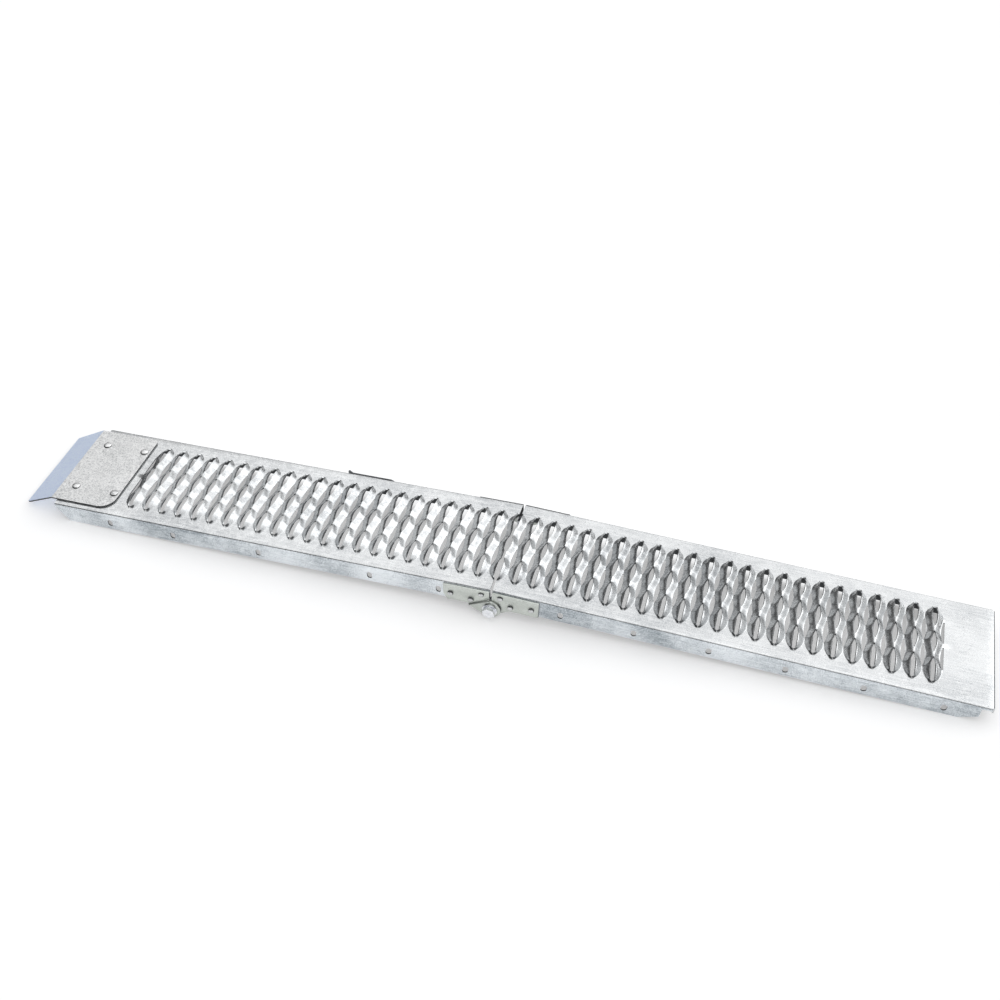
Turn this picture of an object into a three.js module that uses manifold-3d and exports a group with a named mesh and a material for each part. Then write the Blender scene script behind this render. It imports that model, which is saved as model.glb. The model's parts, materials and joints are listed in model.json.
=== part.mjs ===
// Folding loading ramp: two perforated steel channels joined by a riveted hinge on each side.
// Millimetres, +Z up. +X runs down the ramp from the tongue end to the ground end, -Y is the near side.
// Each half is modelled straight in its own group, whose origin is the hinge axis, and then tilted.
import * as THREE from "three";
import { mergeGeometries, mergeVertices } from "three/addons/utils/BufferGeometryUtils.js";
import Module from "manifold-3d";

const wasm = await Module();
wasm.setup();

// ---- Driving dimensions ----
const clearance = 0.3; // between pieces that touch
const deckWidth = 200;
const sheet = 2; // thickness of the channel's sheet
const bendRadius = 3; // outside radius of the channel's bends
const channelDepth = 34; // deck top to flange bottom
const pivotDrop = 36.5; // deck top down to the hinge axis
const upperLength = 757; // hinge axis to the end of the upper channel
const lowerLength = 748; // hinge axis to the end of the lower channel
const deckEndGap = 1; // each channel stops this far from the hinge axis
const upperLugRadius = 17; // round end of the hinge lug that stands on the floor
const lowerLugRadius = 15; // round end of the lug behind it
const cutMargin = 5; // how far a cutting solid reaches past what it cuts
const weldOverlap = 1; // how far two joined solids of one piece run into each other

// Ends of the channels' flanges
const upperBevelLength = 22;
const upperBevelDrop = 6; // deck top down to the start of the upper bevel
const lowerBevelLength = 46; // end of the lower channel back to the start of its bevel
const lowerFlangeSetback = 17; // end of the lower channel back to the end of its flanges
const lowerBevelDrop = 22.5;
const endLipDepth = 11; // the lower deck's end is bent down by this much

// Tread: crests with three slots each alternate with valleys that have two
const pitch = 28.6; // from crest to crest
const rowSpacing = 52; // from slot to slot along a crest or a valley
const crestHeight = 8.5; // top of a crest above the flat deck
const knotHeight = 7; // the bars between a crest's slots, above the flat deck
const crestReach = 78; // crests run out into the flat deck this far from the middle line
const crestSlotWidth = 7.5;
const crestSlotEnd = 73; // outer end of a crest's outer slots
const valleySlotWidth = 6.5;
const valleyDrop = 0.8; // edges of the valley slots below the flat deck
const valleyRise = 0.8; // the bar in the middle of a valley above the flat deck
const slotTip = 6; // a slot's tip stops this far from the middle of the bar
const endSlotMargin = 1.5; // the last valley's slots are cut straight this far past their middle
const treadBorder = 8; // flat deck that is made with the tread around it
const upperColumns = 22;
const lowerColumns = 23;

// Upright open slots in the flanges, the same in both sides of a channel
const flangeHoleWidth = 8.5;
const flangeHoleHeight = 13;
const flangeHoleDrop = 20.5; // deck top down to the middle of the slot
const flangeHoleStep = 4 * pitch;
const upperHole = 85; // hinge axis to the nearest slot
const lowerHole = 109.6;
const upperHoleSteps = [0, 1, 2.67, 4, 5]; // from the nearest slot to each one
const lowerHoleSteps = [0, 1, 2, 3, 4, 5];

// Tongue: the bent plate that hooks over the edge of the load bed
const tonguePlate = 3;
const tongueWidth = 180;
const tongueTipWidth = 172;
const tongueRear = -659;
const tongueBend = -768;
const lipLength = 60;
const lipAngle = THREE.MathUtils.degToRad(26);
const tongueNearCorner = 25;
const tongueFarCorner = 10;
const tongueBoltX = [-740, -669];
const tongueBoltY = [-54.5, 54.5];

// Hinge plates, measured from the hinge axis
const hingePlate = 3;
const plateLength = 76;
const plateTop = 33.5;
const plateBottom = 1.5;
const plateEndGap = 1.2;
const cornerCutLength = 5.5;
const cornerCutHeight = 12;
const rivetPlaces = [[64.5, 16], [14.5, 25.8], [31.5, 10.5]];
const rivetRadius = 2.8;
const rivetHeadRadius = 4.6;
const rivetHeadHeight = 2.6;
const joggleSlope = THREE.MathUtils.degToRad(27);
const joggleWidth = 2;

// M12 pivot bolt with its washers, bush and lock nut
const pivotRadius = 6;
const pivotHeadFlats = 18;
const pivotHeadHeight = 7.5;
const bushRadius = 8;
const pivotWasherRadius = 12;
const pivotWasherThickness = 2.5;
const pivotNutHeight = 10;
const pivotThreadEnd = 5; // thread that shows beyond the nut
const nutCollarHeight = 2.5; // round locking collar on the nut
const hingeNotchRadius = 13; // cut-out in the flanges around the nut and washer

// M8 bolts that hold the tongue
const tongueBoltRadius = 4;
const tongueHeadRadius = 7;
const tongueHeadHeight = 3.2;
const tongueNutFlats = 13;
const tongueNutHeight = 6.5;
const tongueWasherRadius = 8;
const tongueWasherThickness = 1.6;
const tongueThreadEnd = 3;

// Transport latch on the far flange, which swings down and catches a stud on the folded half
const latchPivot = [-234, 25.5];
const latchReach = 78;
const latchWidth = 20;
const latchThickness = 2.5;
const latchTab = 12;
const latchCorner = 4;
const latchTabAngle = THREE.MathUtils.degToRad(35);
const latchNotchWidth = 9.5;
const latchPinRadius = 3;
const catchRadius = 3.5;

// ---- Derived places ----
const halfWidth = deckWidth / 2;
const halfPitch = pitch / 2;
const deckTop = pivotDrop;
const flangeBottom = pivotDrop - channelDepth;
const plateInner = halfWidth + clearance;
const plateOuter = plateInner + hingePlate;
const lugInner = plateOuter + clearance;
const lugOuter = lugInner + hingePlate;
const latchCatchDistance = 2 * latchPivot[1];

// ---- Materials ----
function metal(color, roughness, metalness) {
  return new THREE.MeshStandardMaterial({ color, roughness, metalness });
}

const galvanisedSheet = metal(0xd3d6d6, 0.45, 0.85);
const galvanisedPlate = metal(0xb4bab6, 0.5, 0.85);
const zincPlated = metal(0xe2e6ea, 0.3, 0.95);
const rivetSteel = metal(0xaab0ae, 0.4, 0.9);
const darkSteel = metal(0x3d4143, 0.5, 0.8);

// ---- Solids ----
function solid(geometry) {
  const bare = geometry.clone();
  bare.deleteAttribute("normal");
  bare.deleteAttribute("uv");
  const merged = mergeVertices(bare, 1e-4);
  const vertProperties = Float32Array.from(merged.attributes.position.array);
  const triVerts = Uint32Array.from(merged.index.array);
  return new wasm.Manifold(new wasm.Mesh({ numProp: 3, vertProperties, triVerts }));
}

function geometryOf(manifold) {
  const mesh = manifold.getMesh();
  const geometry = new THREE.BufferGeometry();
  geometry.setAttribute("position", new THREE.BufferAttribute(mesh.vertProperties, 3));
  geometry.setIndex(new THREE.BufferAttribute(mesh.triVerts, 1));
  return geometry;
}

function join(geometries) {
  return geometries.map(solid).reduce((whole, piece) => whole.add(piece));
}

function shapeOf(points) {
  return new THREE.Shape(points.map(([x, y]) => new THREE.Vector2(x, y)));
}

function circle(x, y, radius) {
  return new THREE.Path().absarc(x, y, radius, 0, 2 * Math.PI);
}

function disc(x, y, radius) {
  return new THREE.Shape().absarc(x, y, radius, 0, 2 * Math.PI);
}

// A shape drawn in X and Y, as thick as from z = low to z = high
function alongZ(shape, low, high, curveSegments = 7) {
  const settings = { depth: high - low, bevelEnabled: false, curveSegments };
  const geometry = new THREE.ExtrudeGeometry(shape, settings);
  return geometry.translate(0, 0, low);
}

// A shape drawn in X and Z, as wide as from y = low to y = high
function alongY(shape, low, high, curveSegments = 7) {
  const settings = { depth: high - low, bevelEnabled: false, curveSegments };
  const geometry = new THREE.ExtrudeGeometry(shape, settings);
  return geometry.rotateX(Math.PI / 2).translate(0, high, 0);
}

// A shape drawn in Y and Z, as long as from x = low to x = high
function alongX(shape, low, high, curveSegments = 4) {
  const settings = { depth: high - low, bevelEnabled: false, curveSegments };
  const geometry = new THREE.ExtrudeGeometry(shape, settings);
  const across = new THREE.Vector3(0, 1, 0);
  const up = new THREE.Vector3(0, 0, 1);
  const along = new THREE.Vector3(1, 0, 0);
  return geometry.applyMatrix4(new THREE.Matrix4().makeBasis(across, up, along)).translate(low, 0, 0);
}

// A layer on one side of the ramp, from inner to outer distance off its centre line
function sideLayer(shape, side, inner, outer, curveSegments = 7) {
  const low = side < 0 ? -outer : inner;
  return alongY(shape, low, low + outer - inner, curveSegments);
}

// A turned piece about Y: profile points are [radius, distance off the centre line], from inside out
function turnedOnSide(profile, side, x, z, segments) {
  const points = profile.map(([radius, off]) => new THREE.Vector2(radius, off));
  const geometry = new THREE.LatheGeometry(points, segments);
  geometry.rotateX(side < 0 ? Math.PI : 0);
  return geometry.translate(x, 0, z);
}

function hexagon(flats) {
  const corner = flats / Math.sqrt(3);
  const points = [];
  for (let i = 0; i < 6; i += 1) {
    const angle = ((i + 0.5) * Math.PI) / 3;
    points.push([corner * Math.cos(angle), corner * Math.sin(angle)]);
  }
  return shapeOf(points);
}

// ---- Channels ----
function channelSection() {
  const bendCentre = deckTop - bendRadius;
  const inside = bendRadius - sheet;
  const edge = halfWidth - bendRadius;
  const section = new THREE.Shape();
  section.moveTo(halfWidth, flangeBottom);
  section.absarc(edge, bendCentre, bendRadius, 0, Math.PI / 2, false);
  section.absarc(-edge, bendCentre, bendRadius, Math.PI / 2, Math.PI, false);
  section.lineTo(-halfWidth, flangeBottom);
  section.lineTo(-halfWidth + sheet, flangeBottom);
  section.absarc(-edge, bendCentre, inside, Math.PI, Math.PI / 2, true);
  section.absarc(edge, bendCentre, inside, Math.PI / 2, 0, true);
  section.lineTo(halfWidth - sheet, flangeBottom);
  return section;
}

// ---- Tread ----
// How wide one side of a crest is where it meets the flat deck, outside the outer valley slots
function archHalfWidth(y) {
  const out = (y - rowSpacing) / (crestReach - rowSpacing);
  return halfPitch * (1 - out * out);
}

// Rows of points from the middle line of the tread outwards. Each row runs from a crest at x = 0,
// or from the sheet's edge near it, to the middle of the valley beside it. Heights are above the flat deck.
function rowsOutwards(edge) {
  const slot = Math.max(crestSlotWidth / 2, edge);
  const besideSlot = halfPitch - valleySlotWidth / 2;
  const knot = rowSpacing / 2;
  const outerTip = rowSpacing - slotTip;
  const rows = [
    [[slot, slotTip, crestHeight], [halfPitch, slotTip, valleyRise]],
    [[edge, knot - slotTip, knotHeight], [besideSlot, knot - slotTip, -valleyDrop]],
    [[edge, knot + slotTip, knotHeight], [besideSlot, knot + slotTip, -valleyDrop]],
    [[slot, outerTip, crestHeight], [halfPitch, outerTip, 0]],
    [[slot, rowSpacing, crestHeight], [halfPitch, rowSpacing, 0]],
  ];
  for (const share of [1 / 3, 2 / 3, 1]) {
    const y = rowSpacing + share * (crestSlotEnd - rowSpacing);
    const foot = archHalfWidth(y);
    rows.push([[slot, y, (crestHeight * foot) / halfPitch], [foot, y, 0], [halfPitch, y, 0]]);
  }
  const slotEnd = rows[rows.length - 1];
  rows.push([[edge, ...slotEnd[0].slice(1)], ...slotEnd]);
  for (const y of [crestReach, crestReach + treadBorder]) {
    rows.push([[edge, y, 0], [edge, y, 0], [edge, y, 0], [halfPitch, y, 0]]);
  }
  return rows;
}

function treadRows(edge) {
  const outwards = rowsOutwards(edge);
  const mirrored = outwards.map((row) => row.map(([x, y, z]) => [x, -y, z])).reverse();
  return [...mirrored, ...outwards];
}

// The triangles between two rows of points; where one row is shorter, its last point is used again
function between(first, second) {
  const at = (row, i) => row[Math.min(i, row.length - 1)];
  const triangles = [];
  for (let i = 1; i < Math.max(first.length, second.length); i += 1) {
    triangles.push([at(first, i - 1), at(first, i), at(second, i)]);
    triangles.push([at(first, i - 1), at(second, i), at(second, i - 1)]);
  }
  return triangles;
}

// One side of a crest, from the sheet's edge near the crest to the middle of the valley
function crestSide(edge) {
  const rows = treadRows(edge);
  return rows.slice(1).flatMap((row, i) => (rows[i][0][1] === row[0][1] ? [] : between(rows[i], row)));
}

// Past the last valley the deck is flat, and that valley's slots end on a straight edge
function treadEnd(columns) {
  const valley = columns * pitch + halfPitch;
  const straight = valley + endSlotMargin;
  const outer = valley + treadBorder;
  const rows = treadRows(0).map((row) => row[row.length - 1]);
  const triangles = [];
  for (let i = 1; i < rows.length; i += 1) {
    const pair = [rows[i - 1], rows[i]];
    const flat = pair.map(([, y]) => [[straight, y, 0], [outer, y, 0]]);
    const besideSlot = pair.some(([x]) => x < halfPitch);
    const bar = pair.map(([, y, z]) => [[valley, y, z], [straight, y, 0]]);
    triangles.push(...(rows[i - 1][1] === rows[i][1] ? [] : between(...flat)));
    triangles.push(...(besideSlot || rows[i - 1][1] === rows[i][1] ? [] : between(...bar)));
  }
  return triangles;
}

// A sheet of even height whose top is made of the given triangles, closed by walls along its rims
function thickSheet(triangles) {
  const name = (point) => point.map((value) => value.toFixed(3)).join(" ");
  const facing = triangles.map(([a, b, c]) => {
    const turn = (b[0] - a[0]) * (c[1] - a[1]) - (b[1] - a[1]) * (c[0] - a[0]);
    return turn > 0 ? [a, b, c] : [a, c, b];
  });
  const whole = facing.filter(([a, b, c]) => new Set([name(a), name(b), name(c)]).size === 3);
  const under = ([x, y, z]) => [x, y, z - sheet];
  const corners = [];
  const edges = new Map();
  for (const [a, b, c] of whole) {
    corners.push(a, b, c, under(c), under(b), under(a));
    for (const [from, to] of [[a, b], [b, c], [c, a]]) {
      edges.set(`${name(from)}|${name(to)}`, [from, to]);
    }
  }
  for (const [from, to] of edges.values()) {
    if (!edges.has(`${name(to)}|${name(from)}`)) {
      corners.push(from, under(from), under(to), from, under(to), to);
    }
  }
  const geometry = new THREE.BufferGeometry();
  geometry.setAttribute("position", new THREE.Float32BufferAttribute(corners.flat(), 3));
  return geometry;
}

function tread(direction, columns) {
  const placed = (triangles, crestX, side) =>
    triangles.map((corners) => corners.map(([x, y, z]) => [direction * (crestX + side * x), y, deckTop + z]));
  const triangles = placed(crestSide(deckEndGap), 0, 1);
  for (let column = 1; column <= columns; column += 1) {
    triangles.push(...placed(crestSide(0), column * pitch, -1));
    triangles.push(...placed(crestSide(0), column * pitch, 1));
  }
  triangles.push(...placed(treadEnd(columns), 0, 1));
  return thickSheet(triangles);
}

// The opening in the flat deck that the tread fills, a little smaller than the tread with its border
function treadWindow(direction, columns) {
  const end = direction * (columns * pitch + halfPitch + treadBorder / 2);
  const side = crestReach + treadBorder / 2;
  const left = Math.min(0, end);
  const right = Math.max(0, end);
  const outline = shapeOf([[left, -side], [right, -side], [right, side], [left, side]]);
  return alongZ(outline, deckTop - 2 * sheet, deckTop + sheet);
}

function throughSides(shapes, curveSegments) {
  const reach = halfWidth + sheet;
  return mergeGeometries(shapes.map((shape) => alongY(shape, -reach, reach, curveSegments)));
}

function roundHoles(places, radius) {
  return places.map(([x, z]) => disc(x, z, radius));
}

function uprightSlot(x, z) {
  const radius = flangeHoleWidth / 2;
  const straight = flangeHoleHeight / 2 - radius;
  const slot = new THREE.Shape();
  slot.absarc(x, z + straight, radius, 0, Math.PI);
  return slot.absarc(x, z - straight, radius, Math.PI, 2 * Math.PI);
}

function flangeSlots(direction, nearest, steps) {
  const z = deckTop - flangeHoleDrop;
  return steps.map((step) => uprightSlot(direction * (nearest + step * flangeHoleStep), z));
}

function channel(direction, length, columns, slots) {
  const near = Math.min(direction * deckEndGap, direction * length);
  const far = Math.max(direction * deckEndGap, direction * length);
  const rivetHoles = rivetPlaces.map(([x, z]) => [direction * x, z]);
  return solid(alongX(channelSection(), near, far))
    .subtract(solid(treadWindow(direction, columns)))
    .add(solid(tread(direction, columns)))
    .subtract(solid(throughSides(slots, 3)))
    .subtract(solid(throughSides(roundHoles(rivetHoles, rivetRadius + clearance), 4)))
    .subtract(solid(throughSides(roundHoles([[0, 0]], hingeNotchRadius), 12)));
}

function upperChannel() {
  const beyond = -upperLength - cutMargin;
  const bevelStart = -upperLength + upperBevelLength;
  const flangeCut = shapeOf([
    [beyond, deckTop - upperBevelDrop],
    [-upperLength, deckTop - upperBevelDrop],
    [bevelStart, flangeBottom],
    [bevelStart, flangeBottom - cutMargin],
    [beyond, flangeBottom - cutMargin],
  ]);
  const boltHoles = tongueBoltX.flatMap((x) =>
    tongueBoltY.map((y) => alongZ(disc(x, y, tongueBoltRadius + clearance), 0, deckTop + cutMargin, 5)),
  );
  const pin = disc(...latchPivot, latchPinRadius + clearance);
  const pinHole = sideLayer(pin, 1, halfWidth - 2 * sheet, halfWidth + sheet, 5);
  const slots = flangeSlots(-1, upperHole, upperHoleSteps);
  return channel(-1, upperLength, upperColumns, slots)
    .subtract(solid(alongY(flangeCut, -halfWidth - cutMargin, halfWidth + cutMargin)))
    .subtract(solid(mergeGeometries(boltHoles)))
    .subtract(solid(pinHole));
}

function lowerChannel() {
  const bevelStart = lowerLength - lowerBevelLength;
  const flangeEnd = lowerLength - lowerFlangeSetback;
  const beyond = lowerLength + cutMargin;
  const underBends = deckTop - bendRadius - sheet;
  const flangeCut = shapeOf([
    [bevelStart, flangeBottom],
    [flangeEnd, deckTop - lowerBevelDrop],
    [flangeEnd, underBends],
    [beyond, underBends],
    [beyond, flangeBottom - cutMargin],
    [bevelStart, flangeBottom - cutMargin],
  ]);
  const stud = disc(-latchPivot[0], latchPivot[1], catchRadius + clearance);
  const studHole = sideLayer(stud, 1, halfWidth - 2 * sheet, halfWidth + sheet, 5);
  const slots = flangeSlots(1, lowerHole, lowerHoleSteps);
  return channel(1, lowerLength - bendRadius, lowerColumns, slots)
    .subtract(solid(alongY(flangeCut, -halfWidth - cutMargin, halfWidth + cutMargin)))
    .subtract(solid(studHole))
    .add(solid(endLip()));
}

// The end of the lower deck is bent down to meet the ground
function endLip() {
  const lipHalfWidth = halfWidth - bendRadius;
  const bendX = lowerLength - bendRadius;
  const section = new THREE.Shape();
  section.moveTo(bendX - bendRadius, deckTop);
  section.lineTo(bendX - bendRadius, deckTop - sheet);
  section.absarc(bendX, deckTop - bendRadius, bendRadius - sheet, Math.PI / 2, 0, true);
  section.lineTo(lowerLength - sheet, deckTop - endLipDepth);
  section.lineTo(lowerLength, deckTop - endLipDepth);
  section.absarc(bendX, deckTop - bendRadius, bendRadius, 0, Math.PI / 2, false);
  return alongY(section, -lipHalfWidth, lipHalfWidth, 3);
}

// ---- Tongue ----
function tongueProfile() {
  const bottom = deckTop + clearance;
  const top = bottom + tonguePlate;
  const tipX = tongueBend - lipLength * Math.cos(lipAngle);
  const tipZ = top - lipLength * Math.sin(lipAngle);
  return shapeOf([
    [tongueRear, bottom],
    [tongueRear, top],
    [tongueBend, top],
    [tipX, tipZ],
    [tipX + tonguePlate * Math.sin(lipAngle), tipZ - tonguePlate * Math.cos(lipAngle)],
    [tongueBend + tonguePlate * Math.tan(lipAngle / 2), bottom],
  ]);
}

function tongueOutline() {
  const side = tongueWidth / 2;
  const tipSide = tongueTipWidth / 2;
  const tipX = tongueBend - lipLength;
  const near = tongueNearCorner;
  const far = tongueFarCorner;
  const outline = new THREE.Shape();
  outline.moveTo(tongueBend, -side);
  outline.absarc(tongueRear - near, -side + near, near, -Math.PI / 2, 0, false);
  outline.absarc(tongueRear - far, side - far, far, 0, Math.PI / 2, false);
  outline.lineTo(tongueBend, side);
  outline.lineTo(tipX, tipSide);
  outline.lineTo(tipX, -tipSide);
  for (const x of tongueBoltX) {
    for (const y of tongueBoltY) {
      outline.holes.push(circle(x, y, tongueBoltRadius + clearance));
    }
  }
  return outline;
}

function tongue() {
  const bent = solid(alongY(tongueProfile(), -tongueWidth / 2, tongueWidth / 2));
  return bent.intersect(solid(alongZ(tongueOutline(), -deckTop, 2 * deckTop, 6)));
}

function tongueBolt() {
  const headBottom = deckTop + tonguePlate + 2 * clearance;
  const headTop = headBottom + tongueHeadHeight;
  const shankEnd = deckTop - sheet - tongueWasherThickness - tongueNutHeight - tongueThreadEnd;
  const profile = [
    [0, shankEnd],
    [tongueBoltRadius, shankEnd],
    [tongueBoltRadius, headBottom],
    [tongueHeadRadius, headBottom],
    [tongueHeadRadius, headBottom + 0.8],
    [tongueHeadRadius * 0.75, headTop - 0.9],
    [tongueHeadRadius * 0.4, headTop - 0.2],
    [0, headTop],
  ];
  const points = profile.map(([radius, z]) => new THREE.Vector2(radius, z));
  return new THREE.LatheGeometry(points, 12).rotateX(Math.PI / 2);
}

function tongueWasher() {
  const ring = disc(0, 0, tongueWasherRadius);
  ring.holes.push(circle(0, 0, tongueBoltRadius + clearance));
  const top = deckTop - sheet - clearance;
  return alongZ(ring, top - tongueWasherThickness, top, 6);
}

function tongueNut() {
  const ring = hexagon(tongueNutFlats);
  ring.holes.push(circle(0, 0, tongueBoltRadius + clearance));
  const top = deckTop - sheet - tongueWasherThickness - 2 * clearance;
  return alongZ(ring, top - tongueNutHeight, top, 6);
}

// ---- Hinge ----
// Angle at which a line from a point outside the lug touches its round end, on the lower side
function touchAngle([x, z], radius, turn) {
  return Math.atan2(z, x) + turn * Math.acos(radius / Math.hypot(x, z));
}

// Where the joggle line, a given distance from the hinge axis, crosses an upright or level line
function joggleAtX(distance, x) {
  return (distance + x * Math.sin(joggleSlope)) / Math.cos(joggleSlope);
}

function joggleAtZ(distance, z) {
  return (z * Math.cos(joggleSlope) - distance) / Math.sin(joggleSlope);
}

// The upper plate lies on the flange, and its lug steps out over the lower plate's lug
function upperHingePlate(side) {
  const stepLow = lowerLugRadius + 2 * clearance;
  const stepHigh = stepLow + joggleWidth;
  const body = shapeOf([
    [-plateEndGap, plateTop],
    [-plateLength, plateTop],
    [-plateLength, plateBottom + cornerCutHeight],
    [-plateLength + cornerCutLength, plateBottom],
    [joggleAtZ(stepLow, plateBottom), plateBottom],
    [-plateEndGap, joggleAtX(stepLow, -plateEndGap)],
  ]);
  for (const [x, z] of rivetPlaces) {
    body.holes.push(circle(-x, z, rivetRadius + clearance));
  }
  const heel = [joggleAtZ(stepHigh, plateBottom), plateBottom];
  const lugTop = Math.acos(-plateEndGap / upperLugRadius);
  const lug = new THREE.Shape();
  lug.moveTo(...heel);
  lug.lineTo(-plateEndGap, joggleAtX(stepHigh, -plateEndGap));
  lug.absarc(0, 0, upperLugRadius, lugTop, touchAngle(heel, upperLugRadius, 1) - 2 * Math.PI, true);
  lug.holes.push(circle(0, 0, pivotRadius + clearance));
  const step = shapeOf([
    heel,
    [joggleAtZ(stepLow, plateBottom), plateBottom],
    [-plateEndGap, joggleAtX(stepLow, -plateEndGap)],
    [-plateEndGap, joggleAtX(stepHigh, -plateEndGap)],
  ]);
  return join([
    sideLayer(body, side, plateInner, plateOuter),
    sideLayer(step, side, plateInner, lugOuter),
    sideLayer(lug, side, lugInner, lugOuter),
  ]);
}

function lowerHingePlate(side) {
  const heel = [2 * lowerLugRadius, plateBottom];
  const lugTop = Math.acos(plateEndGap / lowerLugRadius);
  const plate = new THREE.Shape();
  plate.moveTo(plateEndGap, plateTop);
  plate.lineTo(plateLength, plateTop);
  plate.lineTo(plateLength, plateBottom);
  plate.lineTo(...heel);
  plate.absarc(0, 0, lowerLugRadius, touchAngle(heel, lowerLugRadius, -1), lugTop - 2 * Math.PI, true);
  plate.holes.push(circle(0, 0, bushRadius + clearance));
  for (const [x, z] of rivetPlaces) {
    plate.holes.push(circle(x, z, rivetRadius + clearance));
  }
  return sideLayer(plate, side, plateInner, plateOuter);
}

function hingeRivet(side) {
  const inner = halfWidth - sheet - clearance;
  const outer = plateOuter + clearance;
  const profile = [
    [0, inner - 1.8],
    [3.2, inner - 1.5],
    [4.2, inner],
    [rivetRadius, inner],
    [rivetRadius, outer],
    [rivetHeadRadius, outer],
    [rivetHeadRadius * 0.85, outer + rivetHeadHeight * 0.55],
    [rivetHeadRadius * 0.45, outer + rivetHeadHeight * 0.92],
    [0, outer + rivetHeadHeight],
  ];
  return turnedOnSide(profile, side, 0, 0, 10);
}

function pivotBolt(side) {
  const headInner = lugOuter + pivotWasherThickness + 2 * clearance;
  const shankEnd = halfWidth - pivotWasherThickness - pivotNutHeight - pivotThreadEnd;
  const head = sideLayer(hexagon(pivotHeadFlats), side, headInner, headInner + pivotHeadHeight);
  const shank = sideLayer(disc(0, 0, pivotRadius), side, shankEnd, headInner + weldOverlap, 9);
  return join([head, shank]);
}

function ring(side, outerRadius, innerRadius, inner, outer) {
  const shape = disc(0, 0, outerRadius);
  shape.holes.push(circle(0, 0, innerRadius));
  return sideLayer(shape, side, inner, outer, 9);
}

function pivotBush(side) {
  return ring(side, bushRadius, pivotRadius + clearance, plateInner, plateOuter);
}

function outerWasher(side) {
  const inner = lugOuter + clearance;
  return ring(side, pivotWasherRadius, pivotRadius + clearance, inner, inner + pivotWasherThickness);
}

function innerWasher(side) {
  const outer = plateInner - clearance;
  return ring(side, pivotWasherRadius, pivotRadius + clearance, outer - pivotWasherThickness, outer);
}

function lockNut(side) {
  const outer = halfWidth - pivotWasherThickness - clearance;
  const body = hexagon(pivotHeadFlats);
  body.holes.push(circle(0, 0, pivotRadius + clearance));
  const collarStart = outer - pivotNutHeight;
  const collarEnd = collarStart + nutCollarHeight;
  const collarRadius = pivotHeadFlats / 2 - 0.6;
  const hex = sideLayer(body, side, collarEnd, outer, 9);
  const collar = ring(side, collarRadius, pivotRadius + clearance, collarStart, collarEnd + weldOverlap);
  return join([hex, collar]);
}

// ---- Transport latch ----
function latchStrip() {
  const [x, z] = latchPivot;
  const half = latchWidth / 2;
  const inner = plateInner;
  const outer = inner + latchThickness;
  const bend = x - latchReach + latchTab * Math.cos(latchTabAngle);
  const tip = x - latchReach;
  const tipOff = inner + latchTab * Math.sin(latchTabAngle);
  const plan = shapeOf([
    [x + half, inner],
    [x + half, outer],
    [bend + latchThickness * Math.tan(latchTabAngle / 2), outer],
    [tip + latchThickness * Math.sin(latchTabAngle), tipOff + latchThickness * Math.cos(latchTabAngle)],
    [tip, tipOff],
    [bend, inner],
  ]);
  const notchX = x - latchCatchDistance;
  const notch = latchNotchWidth / 2;
  const outline = new THREE.Shape();
  outline.absarc(x, z, half, -Math.PI / 2, Math.PI / 2, false);
  outline.absarc(tip + latchCorner, z + half - latchCorner, latchCorner, Math.PI / 2, Math.PI, false);
  outline.absarc(tip + latchCorner, z - half + latchCorner, latchCorner, Math.PI, 1.5 * Math.PI, false);
  outline.lineTo(notchX - notch, z - half);
  outline.absarc(notchX, z, notch, Math.PI, 0, true);
  outline.lineTo(notchX + notch, z - half);
  outline.holes.push(circle(x, z, latchPinRadius + clearance));
  const bent = solid(alongZ(plan, z - half - cutMargin, z + half + cutMargin));
  return bent.intersect(solid(alongY(outline, inner - cutMargin, tipOff + 2 * cutMargin, 6)));
}

function latchPin() {
  const inner = halfWidth - sheet - clearance;
  const outer = plateInner + latchThickness + clearance;
  const profile = [
    [0, inner - 1.8],
    [5, inner - 1.4],
    [5, inner],
    [latchPinRadius, inner],
    [latchPinRadius, outer],
    [6, outer],
    [5.2, outer + 1.2],
    [0, outer + 1.8],
  ];
  return turnedOnSide(profile, 1, ...latchPivot, 12);
}

// A headed stud: the notch of the latch drops over its neck
function catchStud() {
  const inner = halfWidth - sheet - clearance;
  const neckEnd = plateInner + latchThickness + 2 * clearance;
  const profile = [
    [0, inner - 1.8],
    [5, inner - 1.4],
    [5, inner],
    [catchRadius, inner],
    [catchRadius, neckEnd],
    [5, neckEnd],
    [5, neckEnd + 0.8],
    [4.2, neckEnd + 1.4],
    [0, neckEnd + 1.4],
  ];
  return turnedOnSide(profile, 1, -latchPivot[0], latchPivot[1], 12);
}

// ---- Assembly ----
function place(group, name, geometry, material) {
  const mesh = new THREE.Mesh(geometry, material);
  mesh.name = name;
  group.add(mesh);
}

// Each tongue bolt has a number, counted from the near side
function addTongueFasteners(group) {
  let number = 0;
  for (const x of tongueBoltX) {
    for (const y of tongueBoltY) {
      number += 1;
      place(group, `tongue_bolt_${number}`, tongueBolt().translate(x, y, 0), zincPlated.clone());
      place(group, `tongue_washer_${number}`, tongueWasher().translate(x, y, 0), zincPlated.clone());
      place(group, `tongue_nut_${number}`, tongueNut().translate(x, y, 0), zincPlated.clone());
    }
  }
}

function addRivets(group, name, direction, side) {
  rivetPlaces.forEach(([x, z], index) => {
    const rivet = hingeRivet(side).translate(direction * x, 0, z);
    place(group, `${name}_rivet_${index + 1}`, rivet, rivetSteel.clone());
  });
}

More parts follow.
